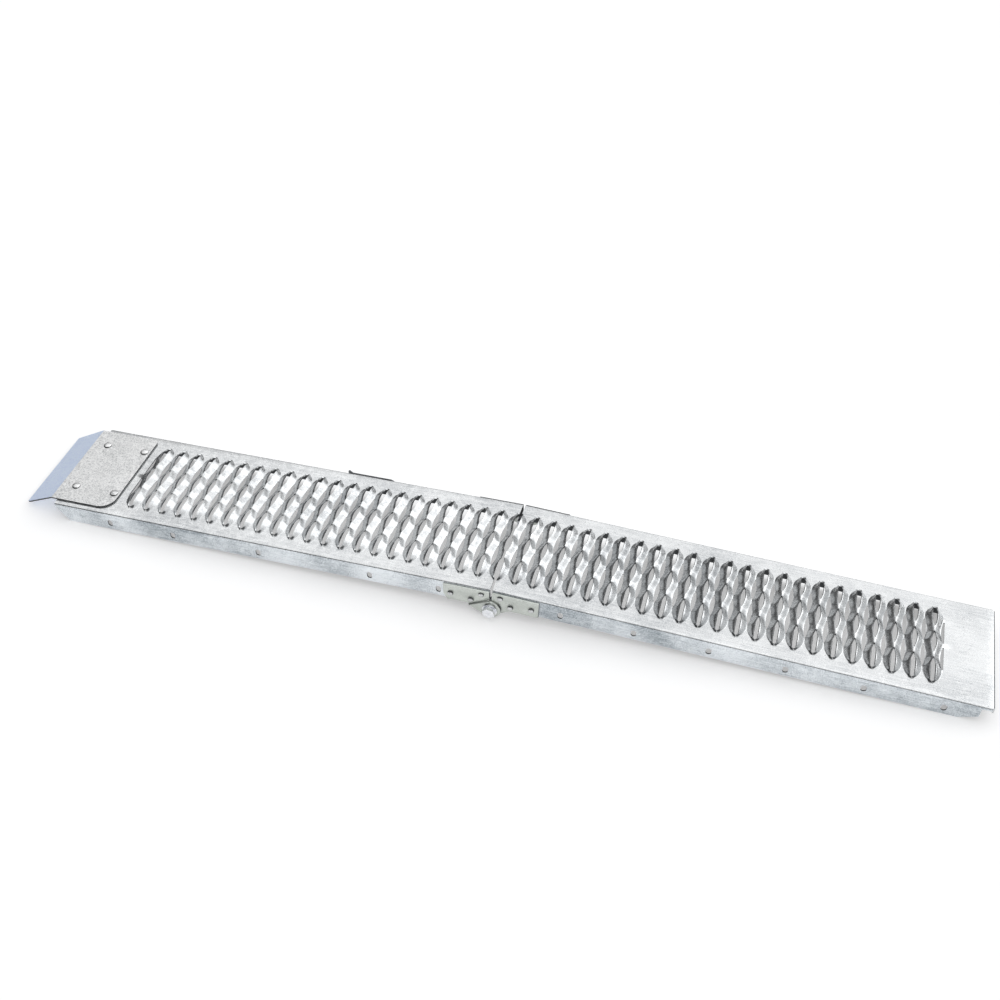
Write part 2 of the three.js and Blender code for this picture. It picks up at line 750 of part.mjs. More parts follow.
function addUpperHalf(group) {
  place(group, "upper_deck_channel", geometryOf(upperChannel()), galvanisedSheet.clone());
  place(group, "tongue_plate", geometryOf(tongue()), galvanisedSheet.clone());
  addTongueFasteners(group);
  for (const [sideName, side] of [["near", -1], ["far", 1]]) {
    place(group, `${sideName}_upper_hinge_plate`, geometryOf(upperHingePlate(side)), galvanisedPlate.clone());
    addRivets(group, `${sideName}_upper`, -1, side);
    place(group, `${sideName}_pivot_bolt`, geometryOf(pivotBolt(side)), zincPlated.clone());
    place(group, `${sideName}_pivot_outer_washer`, outerWasher(side), zincPlated.clone());
    place(group, `${sideName}_pivot_bush`, pivotBush(side), rivetSteel.clone());
    place(group, `${sideName}_pivot_inner_washer`, innerWasher(side), zincPlated.clone());
    place(group, `${sideName}_pivot_lock_nut`, geometryOf(lockNut(side)), zincPlated.clone());
  }
  place(group, "latch_pivot_rivet", latchPin(), rivetSteel.clone());
  place(group, "transport_latch", geometryOf(latchStrip()), darkSteel.clone());
}

function addLowerHalf(group) {
  place(group, "lower_deck_channel", geometryOf(lowerChannel()), galvanisedSheet.clone());
  for (const [sideName, side] of [["near", -1], ["far", 1]]) {
    place(group, `${sideName}_lower_hinge_plate`, lowerHingePlate(side), galvanisedPlate.clone());
    addRivets(group, `${sideName}_lower`, 1, side);
  }
  place(group, "latch_catch_stud", catchStud(), rivetSteel.clone());
}

// On a floor the ramp stands on its two ends and on the hinge lugs, so each half slopes a little
function restSlope(contactX) {
  const reach = Math.hypot(contactX, flangeBottom);
  return Math.asin(upperLugRadius / reach) + Math.atan2(flangeBottom, contactX);
}

const upperHalf = new THREE.Group();
addUpperHalf(upperHalf);
upperHalf.rotation.y = -restSlope(upperLength - upperBevelLength);

const lowerHalf = new THREE.Group();
addLowerHalf(lowerHalf);
lowerHalf.rotation.y = restSlope(lowerLength - lowerBevelLength);

// The origin is under the middle of the whole ramp, on the floor
const ramp = new THREE.Group();
ramp.add(upperHalf, lowerHalf);
ramp.updateMatrixWorld(true);
const box = new THREE.Box3().setFromObject(ramp, true);
const middle = box.getCenter(new THREE.Vector3());
ramp.position.set(-middle.x, -middle.y, -box.min.z);
ramp.updateMatrixWorld(true);

export default ramp;
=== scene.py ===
# Looks for the folding loading ramp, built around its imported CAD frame.
# Shapes are written in millimetres in the frame of one half, whose origin is the hinge axis.
import json
import math

import bmesh
import bpy
import numpy as np
from mathutils import Matrix, Vector
from mathutils.geometry import delaunay_2d_cdt


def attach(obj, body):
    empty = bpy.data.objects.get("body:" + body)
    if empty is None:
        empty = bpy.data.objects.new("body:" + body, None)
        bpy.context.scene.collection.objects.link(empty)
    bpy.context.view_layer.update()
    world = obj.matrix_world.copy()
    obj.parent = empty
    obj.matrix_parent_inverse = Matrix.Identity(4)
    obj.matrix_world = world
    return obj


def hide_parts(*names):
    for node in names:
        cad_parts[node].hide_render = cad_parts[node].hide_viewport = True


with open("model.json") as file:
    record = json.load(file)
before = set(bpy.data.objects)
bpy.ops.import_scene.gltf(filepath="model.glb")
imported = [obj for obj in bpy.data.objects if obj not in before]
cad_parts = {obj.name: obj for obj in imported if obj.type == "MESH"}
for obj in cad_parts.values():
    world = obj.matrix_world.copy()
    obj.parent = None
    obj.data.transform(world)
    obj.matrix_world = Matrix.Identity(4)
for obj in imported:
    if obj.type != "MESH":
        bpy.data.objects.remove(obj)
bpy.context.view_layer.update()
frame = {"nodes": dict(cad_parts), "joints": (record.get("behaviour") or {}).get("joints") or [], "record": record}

# ---- Dimensions: the CAD model's own, and the finer ones that only the looks have ----
CLEARANCE = 0.3

# The two channels and their ends.
HALF_WIDTH = 100.0
SHEET = 2.0
BEND_RADIUS = 3.0
BEND_ANGLES = np.linspace(0, math.pi / 2, 6)
DECK_TOP = 36.5
CHANNEL_DEPTH = 34.0
FLANGE_BOTTOM = DECK_TOP - CHANNEL_DEPTH
DECK_END_GAP = 1.0
UPPER_LENGTH = 757.0
LOWER_LENGTH = 748.0
UPPER_LUG_RADIUS = 17.0
LOWER_LUG_RADIUS = 15.0
UPPER_BEVEL_LENGTH = 22.0
UPPER_BEVEL_DROP = 6.0
LOWER_BEVEL_LENGTH = 46.0
LOWER_FLANGE_SETBACK = 17.0
LOWER_BEVEL_DROP = 22.5
END_LIP_DEPTH = 11.0

# The raised tread. Its knots are the bars between the slots of a crest. CREST_TAPER and CREST_FALL are
# the powers that shape a crest's two ends, and STRAIGHT_SHARE is how much of its sides is straight.
PITCH = 28.6
HALF_PITCH = PITCH / 2
ROW_SPACING = 52.0
CREST_HEIGHT = 8.5
KNOT_HEIGHT = 6.6
CREST_REACH = 78.5
CREST_TAPER = 2.25
CREST_FALL = 0.9
STRAIGHT_SHARE = 0.55
VALLEY_DROP = 0.8
VALLEY_RISE = 0.8
VALLEY_BAR = 4.0
TREAD_BORDER = 9.0
END_SLOT_MARGIN = 1.5
UPPER_COLUMNS = 22
LOWER_COLUMNS = 23

# The tread's slots: half widths, where they begin and end across the deck, and the powers of their outline.
MIDDLE_SLOT_HALF_WIDTH = 4.2
MIDDLE_SLOT_END = 21.0
SIDE_SLOT_HALF_WIDTH = 3.8
SIDE_SLOT_START = 31.0
SIDE_SLOT_END = 76.0
SIDE_SLOT_TAPER = 15.0
SIDE_SLOT_ROUNDING = 2.4
VALLEY_SLOT_HALF_WIDTH = 3.3
VALLEY_SLOT_HALF_LENGTH = 22.0
CREST_SLOT_POWER = 0.85
VALLEY_SLOT_POWER = 0.8

# The upright slots in the flanges, counted from the hinge, and the flange's notch round the pivot.
HOLE_WIDTH = 8.5
HOLE_HEIGHT = 13.0
HOLE_DROP = 20.5
HOLE_STEP = 4 * PITCH
UPPER_HOLE = 85.0
LOWER_HOLE = 109.6
UPPER_HOLE_STEPS = (0, 1, 2.67, 4, 5)
LOWER_HOLE_STEPS = (0, 1, 2, 3, 4, 5)
NOTCH_RADIUS = 13.0

# The tongue, from its rear edge to the lip's tip.
TONGUE_PLATE = 3.0
TONGUE_WIDTH = 180.0
TONGUE_TIP_WIDTH = 172.0
TONGUE_REAR = -659.0
TONGUE_BEND = -768.0
TONGUE_BEND_RADIUS = 7.0
TONGUE_FOLD_STEP = 0.8
LIP_LENGTH = 60.0
LIP_ANGLE = math.radians(26)
TONGUE_NEAR_CORNER = 25.0
TONGUE_FAR_CORNER = 10.0
TONGUE_TIP_CORNER = 2.5
TONGUE_BOLT_X = (-740.0, -669.0)
TONGUE_BOLT_Y = (-54.5, 54.5)
BOLT_HOLE_RADIUS = 4.3
BOLT_RADIUS = 4.0
BOLT_TAIL = 20.6
BOLT_HEAD_RADIUS = 7.0
BOLT_HEAD_HEIGHT = 3.2

# The hinge plates, with their rivets and pivots.
HINGE_PLATE = 3.0
PLATE_LENGTH = 76.0
PLATE_TOP = 33.5
PLATE_BOTTOM = 1.5
PLATE_END_GAP = 1.2
CORNER_CUT = (5.5, 12.0)
RIVET_PLACES = ((64.5, 16.0), (14.5, 25.8), (31.5, 10.5))
RIVET_HOLE_RADIUS = 3.1
RIVET_RADIUS = 2.8
RIVET_HEAD_RADIUS = 4.6
RIVET_HEAD_HEIGHT = 2.6
RIVET_TAIL_RADIUS = 4.2
RIVET_TAIL_HEIGHT = 1.8
JOGGLE_SLOPE = math.radians(27)
JOGGLE_LENGTH = 2.0
JOGGLE_X = (-60.0, 20.0)
PLATE_INNER = HALF_WIDTH + CLEARANCE
PLATE_OUTER = PLATE_INNER + HINGE_PLATE
LUG_INNER = PLATE_OUTER + CLEARANCE
LUG_OUTER = LUG_INNER + HINGE_PLATE
PIVOT_RADIUS = 6.0
PIVOT_HOLE_RADIUS = 6.3
BUSH_HOLE_RADIUS = 8.3
PIVOT_HEAD_FLATS = 18.0
PIVOT_HEAD_HEIGHT = 7.5
PIVOT_HEAD_TURN = math.radians(12)
PIVOT_TAIL = 17.5
PIVOT_WASHER_RADIUS = 12.0
PIVOT_WASHER_THICKNESS = 2.5
THREAD_ROOT = 5.35
THREAD_PITCH = 1.75
THREAD_LENGTH = 16.0
THREAD_CHAMFER = 0.9
HEAD_CHAMFER = math.radians(28)

# The transport latch.
LATCH_PIVOT = (-234.0, 25.5)
LATCH_REACH = 78.0
LATCH_WIDTH = 20.0
LATCH_THICKNESS = 2.5
LATCH_TAB = 12.0
LATCH_CORNER = 4.0
LATCH_TAB_ANGLE = math.radians(35)
LATCH_FOLD = 1.5
LATCH_HOLE_RADIUS = 3.3
LATCH_NOTCH = 9.5
LATCH_CATCH_DISTANCE = 2 * LATCH_PIVOT[1]

# How the meshes are finished.
PLATE_ROUNDING = 0.45
LATCH_ROUNDING = 0.3
TONGUE_ROUNDING = 0.4
ROUNDED_ABOVE = math.radians(40)
WELD_DISTANCE = 2e-5
SHORTEST_EDGE = 1e-6

# Painted shade darkens the rim of a round head where less than this share of its normal lies along its axis.
ROUND_HEAD_SHADE_LIMIT = 0.7

# ---- Places ----
MM = 0.001
FOLD = next(joint for joint in frame["joints"] if joint["name"] == "ramp_fold")


def rest_slope(contact_x):
    """How steeply a half leans when it stands on its hinge lug and on a point of its flange's bottom edge."""
    reach = math.hypot(contact_x, FLANGE_BOTTOM)
    return math.asin(UPPER_LUG_RADIUS / reach) + math.atan2(FLANGE_BOTTOM, contact_x)


def half_frame(slope):
    """From millimetres in one half's own frame to metres in the row frame."""
    turn = Matrix.Rotation(slope, 4, "Y")
    return Matrix.Translation(Vector(FOLD["pos_m"])) @ turn @ Matrix.Scale(MM, 4)


UPPER = half_frame(-rest_slope(UPPER_LENGTH - UPPER_BEVEL_LENGTH))
LOWER = half_frame(rest_slope(LOWER_LENGTH - LOWER_BEVEL_LENGTH))


# ---- Materials ----
class Nodes:
    """A few short ways to add and join the nodes of one material."""

    def __init__(self, name):
        self.material = bpy.data.materials.new(name)
        self.material.use_nodes = True
        self.tree = self.material.node_tree
        self.shader = self.tree.nodes["Principled BSDF"]
        places = self.tree.nodes.new("ShaderNodeTexCoord")
        self.place = places.outputs["Object"]
        self.facing = places.outputs["Normal"]

    def add(self, kind, inputs=(), **settings):
        node = self.tree.nodes.new(kind)
        for key, value in settings.items():
            setattr(node, key, value)
        for key, value in dict(inputs).items():
            if isinstance(value, bpy.types.NodeSocket):
                self.tree.links.new(value, node.inputs[key])
            else:
                node.inputs[key].default_value = value
        return node

    def stretched(self, scale):
        """Places scaled by a different amount along each axis."""
        return self.add("ShaderNodeMapping", {"Vector": self.place, "Scale": scale}).outputs[0]

    def noise(self, scale, detail=3.0, place=None, roughness=0.55):
        inputs = {"Vector": place or self.place, "Scale": scale, "Detail": detail, "Roughness": roughness}
        return self.add("ShaderNodeTexNoise", inputs).outputs["Fac"]

    def spangle(self, scale):
        """Crystals, each with a colour of its own."""
        inputs = {"Vector": self.place, "Scale": scale}
        return self.add("ShaderNodeTexVoronoi", inputs).outputs["Color"]

    def ramp(self, value, *shades):
        """A colour that follows a value through shades, each given as a value and a colour."""
        node = self.add("ShaderNodeValToRGB", {"Fac": value})
        elements = node.color_ramp.elements
        while len(elements) < len(shades):
            elements.new(0.5)
        for element, (at, colour) in zip(elements, shades):
            element.position = at
            element.color = (*colour, 1)
        return node.outputs["Color"]

    def span(self, value, low, high, out_low, out_high):
        """Stretches the values from low to high over those from out_low to out_high."""
        inputs = {"Value": value, "From Min": low, "From Max": high, "To Min": out_low, "To Max": out_high}
        return self.add("ShaderNodeMapRange", inputs).outputs[0]

    def maths(self, operation, first, second):
        return self.add("ShaderNodeMath", {0: first, 1: second}, operation=operation).outputs[0]

    def mix(self, fac, first, second):
        node = self.add("ShaderNodeMix", data_type="RGBA")
        for key, value in (("Factor", fac), ("A", first), ("B", second)):
            socket = next(s for s in node.inputs if s.name == key and s.enabled)
            if isinstance(value, bpy.types.NodeSocket):
                self.tree.links.new(value, socket)
            else:
                socket.default_value = value if key == "Factor" else (*value, 1)
        return next(s for s in node.outputs if s.enabled)

    def bump(self, *layers):
        """Relief from layers of height, strength and distance, one on top of the other."""
        normal = None
        for height, strength, distance in layers:
            inputs = {"Height": height, "Strength": strength, "Distance": distance}
            if normal:
                inputs["Normal"] = normal
            normal = self.add("ShaderNodeBump", inputs).outputs[0]
        self.tree.links.new(normal, self.shader.inputs["Normal"])

    def finish(self, colour, roughness, metallic):
        self.tree.links.new(colour, self.shader.inputs["Base Color"])
        self.tree.links.new(roughness, self.shader.inputs["Roughness"])
        self.shader.inputs["Metallic"].default_value = metallic
        return self.material


def galvanised(
    name, light, dark, grain=900, patches=0.25, streaks=0.2, gloss=(0.26, 0.44), metallic=0.85, slope_shade=0.0
):
    """Hot-dip zinc: small crystals, salt-and-pepper grain, rolling streaks, pits and pale stains.

    A slope shade above 0 paints shade on the steep places, the steeper the darker.
    """
    n = Nodes(name)
    crystals = n.spangle(190)
    crystal_tone = n.add("ShaderNodeSeparateColor", {"Color": crystals}).outputs[0]
    speckle = n.noise(grain, 2)
    cloud = n.noise(9, 5)
    streak = n.noise(1.0, 4, n.stretched((22, 380, 380)))
    tone = n.span(crystal_tone, 0, 1, 0.0, 0.16)
    tone = n.maths("ADD", tone, n.span(speckle, 0.36, 0.64, -0.20, 0.36))
    tone = n.maths("ADD", tone, n.span(cloud, 0.35, 0.65, -0.5 * patches, patches))
    tone = n.maths("ADD", tone, n.span(streak, 0.35, 0.65, -0.5 * streaks, streaks))
    middle = tuple((a + 0.6 * b) / 1.6 for a, b in zip(light, dark))
    colour = n.ramp(tone, (0.0, light), (0.45, middle), (1.0, dark))
    # Painted shade: steep faces get darker, by how far their normal turns from up.
    if slope_shade:
        upward = n.add("ShaderNodeSeparateXYZ", {"Vector": n.facing}).outputs["Z"]
        steep = n.span(upward, 0.80, 0.97, slope_shade, 0)
        colour = n.mix(steep, colour, tuple(v * 0.4 for v in dark))
    stain = n.span(n.noise(70, 6, roughness=0.7), 0.56, 0.70, 0, 0.5)
    colour = n.mix(stain, colour, tuple(min(1, v * 1.05 + 0.03) for v in light))
    pits = n.span(n.noise(420, 2, roughness=0.5), 0.70, 0.76, 0, 0.75)
    colour = n.mix(pits, colour, tuple(v * 0.35 for v in dark))
    roughness = n.span(n.maths("ADD", crystal_tone, n.noise(60, 3)), 0.2, 1.6, *gloss)
    n.bump((crystal_tone, 0.08, 0.0003), (speckle, 0.22, 0.0003), (streak, 0.10, 0.0004))
    return n.finish(colour, roughness, metallic)


def dark_zinc_for_edges_and_shade(name, tone):
    """Dull, dark zinc with a coarse grain: the cut edges' own tone, and painted shade on sheet that is out of the
    light.
    """
    n = Nodes(name)
    cloud = n.noise(90, 4)
    low, high = tuple(v * 0.7 for v in tone), tuple(v * 1.35 for v in tone)
    colour = n.ramp(cloud, (0.3, low), (0.7, high))
    n.bump((n.noise(600, 3), 0.25, 0.0003))
    return n.finish(colour, n.span(cloud, 0.3, 0.7, 0.5, 0.7), 0.6)


def bright_zinc(name):
    """Electro-plated fastener: bright, a little blue, with fine turning marks."""
    n = Nodes(name)
    speckle = n.noise(1400, 2)
    cloud = n.noise(120, 4)
    colour = n.ramp(cloud, (0.3, (0.93, 0.94, 0.96)), (0.7, (0.74, 0.76, 0.80)))
    roughness = n.span(cloud, 0.3, 0.7, 0.16, 0.34)
    n.bump((speckle, 0.12, 0.0002))
    return n.finish(colour, roughness, 0.95)


def worn_rivet(name):
    """Rivet steel: dull plate with a cloudy tone. The shade round the foot of its head is painted on separately,
    with the edge zinc.
    """
    n = Nodes(name)
    cloud = n.noise(220, 4)
    colour = n.ramp(cloud, (0.3, (0.78, 0.79, 0.79)), (0.7, (0.52, 0.53, 0.53)))
    roughness = n.span(cloud, 0.3, 0.7, 0.24, 0.44)
    n.bump((n.noise(700, 3), 0.18, 0.0003))
    return n.finish(colour, roughness, 0.9)


def dark_steel(name):
    """Oiled black steel with worn lighter patches."""
    n = Nodes(name)
    cloud = n.noise(70, 5)
    colour = n.ramp(cloud, (0.35, (0.055, 0.06, 0.065)), (0.75, (0.17, 0.175, 0.18)))
    roughness = n.span(n.noise(200, 3), 0.3, 0.7, 0.32, 0.5)
    n.bump((n.noise(900, 2), 0.15, 0.0003))
    return n.finish(colour, roughness, 0.7)


# The deck sheet gets painted shade on its steep tread slopes.
SHEET_METAL = galvanised(
    "galvanised_sheet",
    light=(0.88, 0.89, 0.89),
    dark=(0.34, 0.36, 0.38),
    gloss=(0.18, 0.32),
    metallic=0.97,
    slope_shade=0.28,
)
FLANGE_METAL = galvanised(
    "galvanised_flange",
    light=(0.88, 0.92, 0.95),
    dark=(0.22, 0.26, 0.29),
    grain=560,
    patches=0.5,
)
PLATE_METAL = galvanised(
    "galvanised_plate",
    light=(0.66, 0.69, 0.65),
    dark=(0.36, 0.39, 0.36),
    grain=1100,
    patches=0.15,
    streaks=0.05,
)
TONGUE_METAL = galvanised(
    "galvanised_tongue",
    light=(1.0, 1.0, 0.99),
    dark=(0.20, 0.22, 0.23),
    grain=420,
    patches=0.15,
    streaks=0.0,
)
# Painted reflection: the tongue's bent lip gets a bluish, almost non-metallic copy of the tongue's zinc.
LIP_REFLECTION_METAL = galvanised(
    "painted_reflection_lip",
    light=(0.72, 0.83, 1.0),
    dark=(0.52, 0.60, 0.90),
    grain=520,
    patches=0.1,
    streaks=0.0,
    metallic=0.1,
)
# Painted shade: faces inside the channel and underneath get this near-black zinc in place of the shade that falls
# there.
INSIDE_SHADE_METAL = dark_zinc_for_edges_and_shade("painted_shade_inside", (0.09, 0.095, 0.10))
# The edge zinc is partly the cut edges' own dull tone and partly painted shade on rims, slot walls and the bent
# end's outer face.
EDGE_AND_SHADE_METAL = dark_zinc_for_edges_and_shade("sheared_edge_and_painted_shade", (0.10, 0.105, 0.11))
ZINC = bright_zinc("zinc_plated")
RIVET_METAL = worn_rivet("rivet_steel")
DARK_METAL = dark_steel("dark_steel")

# The metals of a deck piece, in their order on the mesh.
DECK_METALS = (SHEET_METAL, FLANGE_METAL, INSIDE_SHADE_METAL, EDGE_AND_SHADE_METAL)
SHEET_FACE, FLANGE_FACE, INSIDE_SHADE_FACE, EDGE_AND_SHADE_FACE = range(4)

MATERIAL_OF_SLOT = {
    "galvanised_sheet": SHEET_METAL,
    "galvanised_plate": PLATE_METAL,
    "zinc_plated": ZINC,
    "rivet_steel": RIVET_METAL,
    "dark_steel": DARK_METAL,
}


# ---- Meshes ----
class Skin:
    """The points and faces of one piece while it is being made."""

    def __init__(self):
        self.points = []
        self.faces = []

    def face(self, *points):
        start = len(self.points)
        self.points.extend(points)
        self.faces.append(tuple(range(start, start + len(points))))

    def between(self, first, second):
        """Four-sided faces between two rows of points. A shorter row's last point is used again."""
        for i in range(1, max(len(first), len(second))):
            a, b = first[min(i - 1, len(first) - 1)], first[min(i, len(first) - 1)]
            c, d = second[min(i, len(second) - 1)], second[min(i - 1, len(second) - 1)]
            self.face(a, b, c, d)

    def rows(self, rows):
        for first, second in zip(rows, rows[1:]):
            self.between(first, second)

    def moved(self, change):
        self.points = [change(p) for p in self.points]
        return self

    def join(self, other):
        start = len(self.points)
        self.points.extend(other.points)
        self.faces.extend(tuple(i + start for i in face) for face in other.faces)
        return self


def piece(name, skin, half, thickness=0.0, bevel=0.0, sharp=35, inward=None):
    """One object from a skin: welded, thickened inwards, its edges rounded, smooth up to sharp degrees.

    Inward says which way the skin's back looks on the whole.
    """
    mesh = bpy.data.meshes.new(name)
    mesh.from_pydata([half @ Vector(p) for p in skin.points], [], skin.faces)
    work = bmesh.new()
    work.from_mesh(mesh)
    bmesh.ops.remove_doubles(work, verts=work.verts, dist=WELD_DISTANCE)
    bmesh.ops.dissolve_degenerate(work, edges=work.edges, dist=SHORTEST_EDGE)
    loose = [v for v in work.verts if not v.link_faces]
    bmesh.ops.delete(work, geom=loose, context="VERTS")
    bmesh.ops.recalc_face_normals(work, faces=work.faces)
    if inward is not None:
        out = sum((f.normal * f.calc_area() for f in work.faces), Vector())
        if out.dot(Vector(inward)) > 0:
            bmesh.ops.reverse_faces(work, faces=work.faces)
    work.to_mesh(mesh)
    work.free()
    made = bpy.data.objects.new(name, mesh)
    bpy.context.scene.collection.objects.link(made)
    if thickness:
        solidify = made.modifiers.new("thickness", "SOLIDIFY")
        solidify.thickness = thickness * MM
        solidify.offset = -1
    if bevel:
        rounding = made.modifiers.new("rounding", "BEVEL")
        rounding.width = bevel * MM
        rounding.segments = 2
        rounding.limit_method = "ANGLE"
        rounding.angle_limit = ROUNDED_ABOVE
        rounding.use_clamp_overlap = False
    if made.modifiers:
        seen = made.evaluated_get(bpy.context.evaluated_depsgraph_get())
        made.data = bpy.data.meshes.new_from_object(seen)
        made.data.name = name
        made.modifiers.clear()
        bpy.data.meshes.remove(mesh)
    made.data.shade_smooth()
    made.data.set_sharp_from_angle(angle=math.radians(sharp))
    return made


def stand(made, body, slot, material, *nodes):
    """Gives a piece its material and its body, and hides the CAD nodes that it stands for."""
    made.data.materials.clear()
    made.data.materials.append(material)
    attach(made, body)
    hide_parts(*nodes)
    return made


def arc(x, y, radius, start, end, steps):
    """Points along an arc, angles in radians."""
    angles = np.linspace(start, end, steps + 1)
    return [(x + radius * math.cos(a), y + radius * math.sin(a)) for a in angles]


def ring(x, y, radius, steps=32):
    return arc(x, y, radius, 0, 2 * math.pi, steps)[:-1]


def inside(point, outline):
    """Is a point inside a closed outline?"""
    x, y = point
    crossings = 0
    for (x1, y1), (x2, y2) in zip(outline, outline[1:] + outline[:1]):
        if (y1 > y) != (y2 > y) and x < x1 + (y - y1) * (x2 - x1) / (y2 - y1):
            crossings += 1
    return crossings % 2 == 1


def filled(outline, holes=(), lines=()):
    """Triangles that fill an outline around its holes. Lines are cuts that the triangles keep to."""
    points = []
    edges = []
    for loop in (outline, *holes):
        start = len(points)
        points.extend(loop)
        edges.extend((start + i, start + (i + 1) % len(loop)) for i in range(len(loop)))
    for a, b in lines:
        edges.append((len(points), len(points) + 1))
        points.extend((a, b))
    done = delaunay_2d_cdt([Vector(p) for p in points], edges, [], 1, 1e-4)
    places, faces = done[0], done[2]
    skin = Skin()
    for face in faces:
        corners = [tuple(places[i]) for i in face]
        middle = (sum(c[0] for c in corners) / 3, sum(c[1] for c in corners) / 3)
        if inside(middle, list(outline)) and not any(inside(middle, list(h)) for h in holes):
            skin.face(*[(u, v, 0.0) for u, v in corners])
    return skin


def turned(profile, steps=40):
    """A closed turned body about Z. Its radius and height pairs end on the axis or close into a ring."""
    skin = Skin()
    rows = []
    for i in range(steps + 1):
        a = 2 * math.pi * i / steps
        rows.append([(r * math.cos(a), r * math.sin(a), h) for r, h in profile])
    skin.rows(rows)
    return skin


def dome(radius, foot, top, fullness=2.3, steps=6):
    """Profile of a rounded head, from its widest place at height foot to the middle of its top."""
    profile = []
    for angle in np.linspace(0, math.pi / 2, steps + 1):
        share = math.cos(angle)
        profile.append((radius * share, foot + (top - foot) * math.sqrt(1 - share**fullness)))
    return profile


def hexagon_reach(angle, flats):
    """How far a hexagon's side is from its middle at an angle."""
    turned_by = (angle + math.pi / 6) % (math.pi / 3) - math.pi / 6
    return flats / 2 / math.cos(turned_by)


def hex_head(flats, height, crown=0.93, steps=72, turn=0.0):
    """A hexagon head whose outer corners are chamfered by a cone, standing on z = 0."""
    skin = Skin()
    rows = []
    flat = crown * flats / 2
    for i in range(steps + 1):
        a = 2 * math.pi * i / steps
        reach = hexagon_reach(a, flats)
        shoulder = height - (reach - flat) * math.tan(HEAD_CHAMFER)
        profile = [
            (0, 0),
            (reach - 0.3, 0),
            (reach, 0.35),
            (reach, shoulder),
            (flat, height),
            (flat / 2, height),
            (0, height),
        ]
        rows.append([(r * math.cos(a + turn), r * math.sin(a + turn), h) for r, h in profile])
    skin.rows(rows)
    return skin


def outwards(side, x=0.0, z=0.0):
    """Turns a body made about Z so that its top faces away from the ramp's middle line on one side."""
    return lambda p: (x + p[0], side * p[2], z + p[1])


# ---- Decks ----
def lens(offset, half_length, power):
    """1 in the middle of a slot, 0 at its tips. A power of a half makes the tips round."""
    share = 1 - (offset / half_length) ** 2
    return max(share, 0.0) ** power


def crest_slot(y):
    """Half width of the slots that split a crest: one in the middle, and one on each side of it."""
    out = abs(y)
    if out <= MIDDLE_SLOT_END:
        return MIDDLE_SLOT_HALF_WIDTH * lens(out, MIDDLE_SLOT_END, CREST_SLOT_POWER)
    if out < SIDE_SLOT_START or out > SIDE_SLOT_END:
        return 0.0
    before_full = max(SIDE_SLOT_START + SIDE_SLOT_TAPER - out, 0)
    past_full = max(out - SIDE_SLOT_END + SIDE_SLOT_ROUNDING, 0)
    pointed = SIDE_SLOT_HALF_WIDTH * lens(before_full, SIDE_SLOT_TAPER, CREST_SLOT_POWER)
    return pointed * lens(past_full, SIDE_SLOT_ROUNDING, 0.5)


def valley_slot(y):
    """Half width of the slot in a valley."""
    out = abs(abs(y) - ROW_SPACING / 2)
    return VALLEY_SLOT_HALF_WIDTH * lens(out, VALLEY_SLOT_HALF_LENGTH, VALLEY_SLOT_POWER)


def arch_half_width(y):
    """Half width of a crest, full up to ROW_SPACING and then tapering to its tip at CREST_REACH."""
    out = min(max((abs(y) - ROW_SPACING) / (CREST_REACH - ROW_SPACING), 0), 1)
    return HALF_PITCH * (1 - out**CREST_TAPER)


def crest_height(y):
    """Height of a crest's rim: lower at the knots, and falling to the deck at its two ends."""
    out = abs(y)
    if out >= ROW_SPACING:
        return CREST_HEIGHT * (arch_half_width(y) / HALF_PITCH) ** CREST_FALL
    wave = math.cos(math.pi * out / ROW_SPACING) ** 2
    return KNOT_HEIGHT + (CREST_HEIGHT - KNOT_HEIGHT) * wave


def valley_height(y):
    """Height of a valley: raised at its middle bar and lowest along its slots."""
    if abs(y) >= ROW_SPACING:
        return 0.0
    if abs(y) < VALLEY_BAR:
        return VALLEY_RISE
    wave = math.sin(math.pi * abs(y) / ROW_SPACING) ** 2
    middle = VALLEY_RISE if abs(y) < ROW_SPACING / 2 else 0.0
    return middle - (middle + VALLEY_DROP) * wave


def stops(*marks, step=2.0):
    """Places between marks, at most a step apart."""
    places = [marks[0]]
    for low, high in zip(marks, marks[1:]):
        count = max(1, math.ceil((high - low) / step))
        places.extend(low + (high - low) * (i + 1) / count for i in range(count))
    return places


OUTWARD_PLACES = stops(
    0,
    VALLEY_BAR,
    MIDDLE_SLOT_END,
    ROW_SPACING / 2,
    SIDE_SLOT_START,
    ROW_SPACING / 2 + VALLEY_SLOT_HALF_LENGTH,
    ROW_SPACING,
    *(SIDE_SLOT_END - back for back in (4.0, 2.0, 0.8)),
    SIDE_SLOT_END,
    CREST_REACH,
)
TREAD_Y = sorted({-y for y in OUTWARD_PLACES} | set(OUTWARD_PLACES))
BORDER_Y = (CREST_REACH + TREAD_BORDER, HALF_WIDTH - BEND_RADIUS)
ACROSS = (0.0, 0.05, 0.2, 0.4, 0.6, 0.8, 0.95, 1.0)
FLAT_STEPS = 3
FLAT_STEP = 12.0


def crest_row(y, edge):
    """One row of points from a crest's rim down to the valley's rim, and on over the flat deck outside it.

    Edge is the least distance from the crest's middle at which the row starts.
    """
    rim = max(crest_slot(y), edge)
    inner = abs(y) <= ROW_SPACING
    foot = HALF_PITCH - valley_slot(y) if inner else max(arch_half_width(y), rim)
    top, bottom = crest_height(y), valley_height(y)
    points = []
    for share in ACROSS:
        rounded = 0.5 - 0.5 * math.cos(math.pi * share)
        fall = STRAIGHT_SHARE * share + (1 - STRAIGHT_SHARE) * rounded
        points.append((rim + (foot - rim) * share, y, top + (bottom - top) * fall))
    for i in range(1, FLAT_STEPS + 1):
        x = foot + (HALF_PITCH - foot) * i / FLAT_STEPS
        points.append((x if not inner else foot, y, bottom))
    return points


